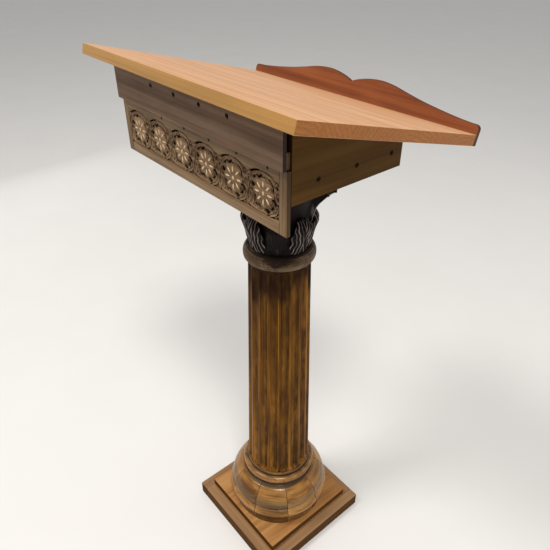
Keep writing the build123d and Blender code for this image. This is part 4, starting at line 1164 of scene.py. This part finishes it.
right = [tuple(p) for p in smooth_curve(LEDGE_HALF, 60)]
corner = arc_points(LEDGE_HALF[-1], (277.7, 12.7), (LEDGE_X, 7.0), 6)
outline = [(LEDGE_X, -TOP_THICKNESS), (LEDGE_X, 7.0)] + corner[::-1] + right[::-1][1:]
outline += [(-x, height) for x, height in outline[::-1][1:]]
mesh = prism_mesh(outline, lambda u, v, w: on_top(u, TOP_DEPTH + w, v), LEDGE_THICKNESS, 0.9, segments=3)
co = triples(mesh.vertices, "co") / MM
above = (co - np.array(HIGH_EDGE)) @ np.array(SLOPE_UP)
profile = np.interp(np.abs(co[:, 0]), *zip(*(right + corner[1:])))
dress("book_ledge", mesh, X_AXIS, edge=above > profile - 0.75)

# ---------------------------------------------------------------- carved panel
PITCH, MEDALLION_Z = 70.2, 1064.3
MEDALLION_XS = [(i - 2.5) * PITCH for i in range(6)]
HALF_RUN = 3 * PITCH
STILE_INNER = BOX_HALF_WIDTH - 16.0
ARCH_CUSP, ARCH_CROWN, RAIL_TOP_Z = 1089.0, 1099.0, 1112.0
ARCH_RISE = ARCH_CROWN - ARCH_CUSP
ARCH_RADIUS = ((PITCH / 2) ** 2 + ARCH_RISE**2) / (2 * ARCH_RISE)
board("carved_stile_left", 1.0, Z_AXIS, 0.2, lip=(-1, 0, 0))
board("carved_stile_right", 1.0, Z_AXIS, 0.2, lip=X_AXIS)
board("carved_bottom_rail", 1.0, X_AXIS, 0.12)


def arch(x):
    """Height of the scalloped edge over the medallions."""
    local = (np.asarray(x) + HALF_RUN) % PITCH - PITCH / 2
    return ARCH_CROWN - ARCH_RADIUS + np.sqrt(ARCH_RADIUS**2 - local**2)


scallop_x = np.concatenate([np.linspace(-PITCH / 2 + 0.02, PITCH / 2 - 0.02, 17) + m for m in MEDALLION_XS])
outline = [(float(x), float(arch(x))) for x in scallop_x]
outline[0], outline[-1] = (-STILE_INNER, ARCH_CUSP), (STILE_INNER, ARCH_CUSP)
outline += [(STILE_INNER, RAIL_TOP_Z), (-STILE_INNER, RAIL_TOP_Z)]
mesh = prism_mesh(outline, lambda u, v, w: (u, CARVING_FRONT_Y + w, v), CARVING_BACK_Y - CARVING_FRONT_Y, 0.5)
dress("carved_top_rail", mesh, X_AXIS, 0.0)

# One repeat of the carving, from the middle of its medallion.
VINES = (
    [(-33.5, 22), (-29.5, 20), (-29.5, 13), (-32.5, 5), (-33.5, -2), (-36.5, -8), (-37.0, -15), (-35.0, -22),
     (-29.5, -26.5), (-20, -28.6), (-8, -29.2), (3, -28.6), (7, -30.5)],
    [(-3, 29.4), (7, 28.2), (16, 25.4), (22.5, 20.0), (24.6, 13.0), (26.2, 5.0), (28.8, -2.0), (33.0, -5.0)],
    [(15, -29.5), (22, -26.5), (28, -22), (31.5, -16), (33, -11)],
    [(-26, -24.5), (-21.5, -19.5), (-22.5, -13), (-25, -8), (-29, -4)],
)
LEAVES = (  # x, z, direction in degrees, length, width
    (-30.6, -14.5, 84, 19, 8.0), (27.6, 12.0, 80, 13, 5.5), (27.0, -14.5, 58, 12, 5.5),
    (-26.5, 13.5, 62, 11, 5.0), (-15.0, 24.0, 18, 9, 3.6), (2.0, 25.2, -4, 11, 3.8), (0.0, -25.6, 4, 8, 3.2),
    (29.6, 21.5, 40, 9, 4.0), (-13.0, -27.0, -10, 10, 3.4), (17.5, -24.0, 30, 9, 4.0),
    (-27.2, 1.5, 100, 8, 3.6),
)
HOLES = (  # deep piercings: a radius and an open path
    (1.25, (-27.5, 25.6), (-22, 28.6), (-16, 30.8), (-11, 31.9)), (0.8, (6, 32.3), (13, 31.6), (19.7, 29.4)),
    (1.25, (-14.4, 22.6), (-11.5, 20.9), (-8.4, 22.0), (-4.6, 25.2)),
    (1.4, (-25.2, 8.6), (-22.8, 6.0), (-25.5, 4.6)), (1.7, (20.0, 17.0), (21.4, 15.0)),
    (1.6, (20.6, 10.6), (22.4, 9.2)), (1.3, (28.6, 24.4), (31.4, 22.2)),
    (1.6, (21, -4.4), (24.2, -6.4), (25.4, -9.6)), (1.2, (4.4, -23.8), (8, -23), (11, -25.4), (8.2, -26)),
    (1.15, (9.6, -31.2), (14.2, -31.8), (18.6, -29.6), (23.0, -30.4)), (1.35, (-17.4, -21.8), (-15.4, -23.2)),
    (1.35, (-10.6, -21.6), (-8.4, -23.2)), (0.75, (-27.8, -29.6), (-19.0, -31.2), (-10.7, -31.6)),
    (1.6, (31.6, -8.0), (33.4, -10.2)), (1.2, (-21.4, 17.6), (-19.2, 19.6)), (1.2, (12.8, 22.8), (16.8, 20.2)),
    (1.1, (-19.8, -9.6), (-18.6, -13.4)), (1.2, (26, -24.6), (29.6, -21)), (1.1, (30.4, 2.6), (31.6, -1)),
    (1.1, (-33.4, 12.6), (-32.2, 9)), (1.0, (-31.6, 17), (-28.6, 15.6)), (1.2, (-26.8, -1.6), (-26, -5.4)),
    (1.0, (-24.4, -14.6), (-21.2, -17)), (0.9, (0, -32.2), (4.6, -32.6)), (1.1, (17.2, -18.6), (20.4, -15)),
    (0.9, (23.6, 1.6), (25.0, -1.0)), (1.0, (33.4, 12.2), (33.0, 7.6)), (1.0, (29.4, 14.8), (27.6, 18.0)),
    (0.9, (-2.4, 22.8), (2.6, 23.4)), (1.0, (-34.6, -27.6), (-32, -30.4)), (1.0, (29, -28.4), (33, -27)),
)
GROUND, HOLE_DEPTH, VINE_RADIUS = 2.0, 6.4, 1.1
DISC_RADIUS, DISC_LOBES = 20.1, 8
CARVING_COLUMNS, CARVING_ROWS, CARVING_LOW_Z = 690, 112, 1031.2


def path_distance(x, z, points):
    """Distance from an open path."""
    best = np.full(x.shape, 1e9)
    for (ax, az), (bx, bz) in zip(points, points[1:]):
        dx, dz = bx - ax, bz - az
        t = np.clip(((x - ax) * dx + (z - az) * dz) / (dx * dx + dz * dz), 0, 1)
        best = np.minimum(best, np.hypot(x - ax - t * dx, z - az - t * dz))
    return best


def step(distance, low, high):
    """Smooth step from 0 to 1."""
    t = np.clip((distance - low) / (high - low), 0, 1)
    return t * t * (3 - 2 * t)


def cell_depth(x, z, shake):
    """Depth of the carving below its face, for points relative to a medallion's middle."""
    depth = GROUND + 0.25 * np.sin(x * 1.9 + z * 0.7) * np.sin(z * 1.7 - x * 0.6)
    for lx, lz, direction, length, width in LEAVES:
        a = math.radians(direction + shake.uniform(-6, 6))
        lx, lz = lx + shake.uniform(-0.5, 0.5), lz + shake.uniform(-0.5, 0.5)
        along = ((x - lx) * math.cos(a) + (z - lz) * math.sin(a)) / (length / 2)
        across = (-(x - lx) * math.sin(a) + (z - lz) * math.cos(a)) / (width / 2)
        inside = 1 - np.abs(along) ** 1.6 - np.abs(across) / np.clip(1 - along**2 * 0.55, 0.2, 1)
        veins = 0.30 * np.abs(np.sin((along * 3.4 + np.abs(across) * 1.1) * math.pi))
        body = 0.45 + 0.75 * np.abs(across) + veins - 0.35 * np.exp(-(across * 5) ** 2)
        depth = np.minimum(depth, np.where(inside > 0, body, body + (GROUND - body) * step(-inside, 0, 0.16)))
    r = np.hypot(x, z * 1.02)
    t = np.arctan2(z, x)
    rim = DISC_RADIUS + 1.9 * np.cos(DISC_LOBES * t)
    nicks = np.sin(x * 1.25 + z * 0.85 + 1.0) * np.sin(z * 1.45 - x * 0.65 + 2.0) - 0.22
    depth = depth + 5.4 * np.clip(nicks, 0, 0.5) * step(r - rim, -0.5, 0.8)
    disc = 0.85 - 0.35 * (r / 22) ** 2 + 0.32 * np.cos(3 * DISC_LOBES * t) * (r / 20) ** 3
    depth = np.minimum(depth, disc + (GROUND - disc) * step(r - rim, -0.6, 1.3))
    for radius, *points in HOLES:
        dx, dz = shake.uniform(-0.5, 0.5), shake.uniform(-0.4, 0.4)
        away = path_distance(x - dx, z - dz, points) - radius * 1.32 - 0.22 * np.sin(x * 2.3 + z * 1.9)
        depth = depth + (HOLE_DEPTH - depth) * (1 - step(away, -0.35, 0.35))
    for points in VINES:
        away = path_distance(x, z, smooth_curve(points, 4 * len(points)).tolist())
        cord = 0.35 + 1.3 * (1 - np.sqrt(np.clip(1 - (away / VINE_RADIUS) ** 2, 0, 1)))
        depth = np.where(away < VINE_RADIUS, np.minimum(depth, cord), depth)
    return depth


def carving_depth(X, Z):
    """Depth of all six repeats at a grid of places, with a plain border."""
    depth = np.full(X.shape, GROUND)
    shake = random.Random(3)
    for m in MEDALLION_XS:
        local = X - m
        here = (local >= -PITCH / 2) & (local < PITCH / 2)
        reach = (local >= -PITCH / 2 - 6) & (local < PITCH / 2 + 6)
        cell = np.full(X.shape, GROUND)
        cell[reach] = cell_depth(local[reach], Z[reach] - MEDALLION_Z, shake)
        depth = np.where(here, cell, depth)
        # A vine or leaf that runs over the edge of its repeat also stands in the next one.
        depth = np.where(reach & ~here & (cell < depth - 0.2), cell, depth)
    sides = np.minimum(X - X[0, 0], X[0, -1] - X)
    border = np.minimum(sides, np.minimum(Z - CARVING_LOW_Z, Z[-1:] - Z))
    return np.where(border < 1.3, np.minimum(depth, 0.2 + 1.4 * step(border, 0.5, 1.3)), depth)


def carved_fretwork():
    """Carved front as a grid of points, closed by a flat back."""
    rows, columns = CARVING_ROWS, CARVING_COLUMNS
    xs = np.linspace(-HALF_RUN + 0.1, HALF_RUN - 0.1, columns)
    tops = arch(xs) - 0.15
    X = np.repeat(xs[None, :], rows, 0)
    Z = CARVING_LOW_Z + np.linspace(0, 1, rows)[:, None] * (tops[None, :] - CARVING_LOW_Z)
    depth = carving_depth(X, Z)
    front = np.stack([X, CARVING_FRONT_Y + depth, Z], -1).reshape(-1, 3)
    rim = grid_rim(rows, columns)
    back = front[rim]
    back[:, 1] = CARVING_BACK_Y
    behind = {point: len(front) + k for k, point in enumerate(rim)}
    faces = grid_faces(rows, columns) + rim_walls(rim, behind)
    high = (rows - 1) * columns
    for j in range(1, columns - 2):
        faces.append((behind[j + 1], behind[j], behind[high + j], behind[high + j + 1]))
    left = [behind[i * columns] for i in range(rows)]
    right = [behind[i * columns + columns - 1] for i in range(rows)]
    faces.append((behind[1], *left, behind[high + 1]))
    faces.append((behind[high + columns - 2], *right[::-1], behind[columns - 2]))
    shadow = np.concatenate([np.clip((depth.reshape(-1) - 1.2) / 1.7, 0, 1), np.zeros(len(back))])
    verts = np.concatenate([front, back])
    piece("carved_fretwork", verts, faces, X_AXIS, 0.6, shadow, sharp=0, weighted=False)


carved_fretwork()

# ---------------------------------------------------------------- inlays
PETALS, PETAL_OUT = 8, 13.65
INLAY_RINGS, INLAY_SIDES, INLAY_HEIGHT, INLAY_FACE, INLAY_FOOT = 6, 28, 1.1, 0.75, 1.5


def add_inlay(builder, cx, cz, direction, length, width, power):
    """Domed lens that stands a little proud of the carved disc; a higher power makes its ends more pointed."""
    c, s = math.cos(direction), math.sin(direction)
    verts = []
    for i in range(INLAY_RINGS):
        climb = i / (INLAY_RINGS - 1) * math.pi / 2
        for j in range(INLAY_SIDES):
            t = 2 * math.pi * j / INLAY_SIDES
            u = math.cos(t) * math.cos(climb) * length / 2
            v = math.sin(t) * (abs(math.sin(t)) ** power) * math.cos(climb) * width / 2
            y = CARVING_FRONT_Y + INLAY_FACE - INLAY_HEIGHT * math.sin(climb)
            verts.append((cx + u * c - v * s, y, cz + u * s + v * c))
    verts += [(x, CARVING_FRONT_Y + INLAY_FOOT, z) for x, y, z in verts[:INLAY_SIDES]]
    faces = grid_faces(INLAY_RINGS, INLAY_SIDES, wrap=True)
    faces += end_caps(INLAY_RINGS, INLAY_SIDES)[1:]
    base = INLAY_RINGS * INLAY_SIDES
    faces += [(j, (j + 1) % INLAY_SIDES, base + (j + 1) % INLAY_SIDES, base + j) for j in range(INLAY_SIDES)]
    faces.append(tuple(base + j for j in range(INLAY_SIDES)))
    builder.add(verts, faces)


inlays = Builder()
for m in MEDALLION_XS:
    add_inlay(inlays, m, MEDALLION_Z, math.pi / 2, 6.2, 4.2, 0.3)
    for index in range(PETALS):
        angle = math.pi / 2 + index * 2 * math.pi / PETALS
        x, z = m + PETAL_OUT * math.cos(angle), MEDALLION_Z + PETAL_OUT * math.sin(angle)
        add_inlay(inlays, x, z, angle, 9.7, 3.2, 0.4)
inlays.finish("petal_inlays", X_AXIS, 60)

# ---------------------------------------------------------------- CAD pieces that stay as they are
for node, obj in frame["nodes"].items():
    if not obj.hide_render:
        obj.data.materials.clear()
        obj.data.materials.append(MATERIALS[SLOTS[node]])
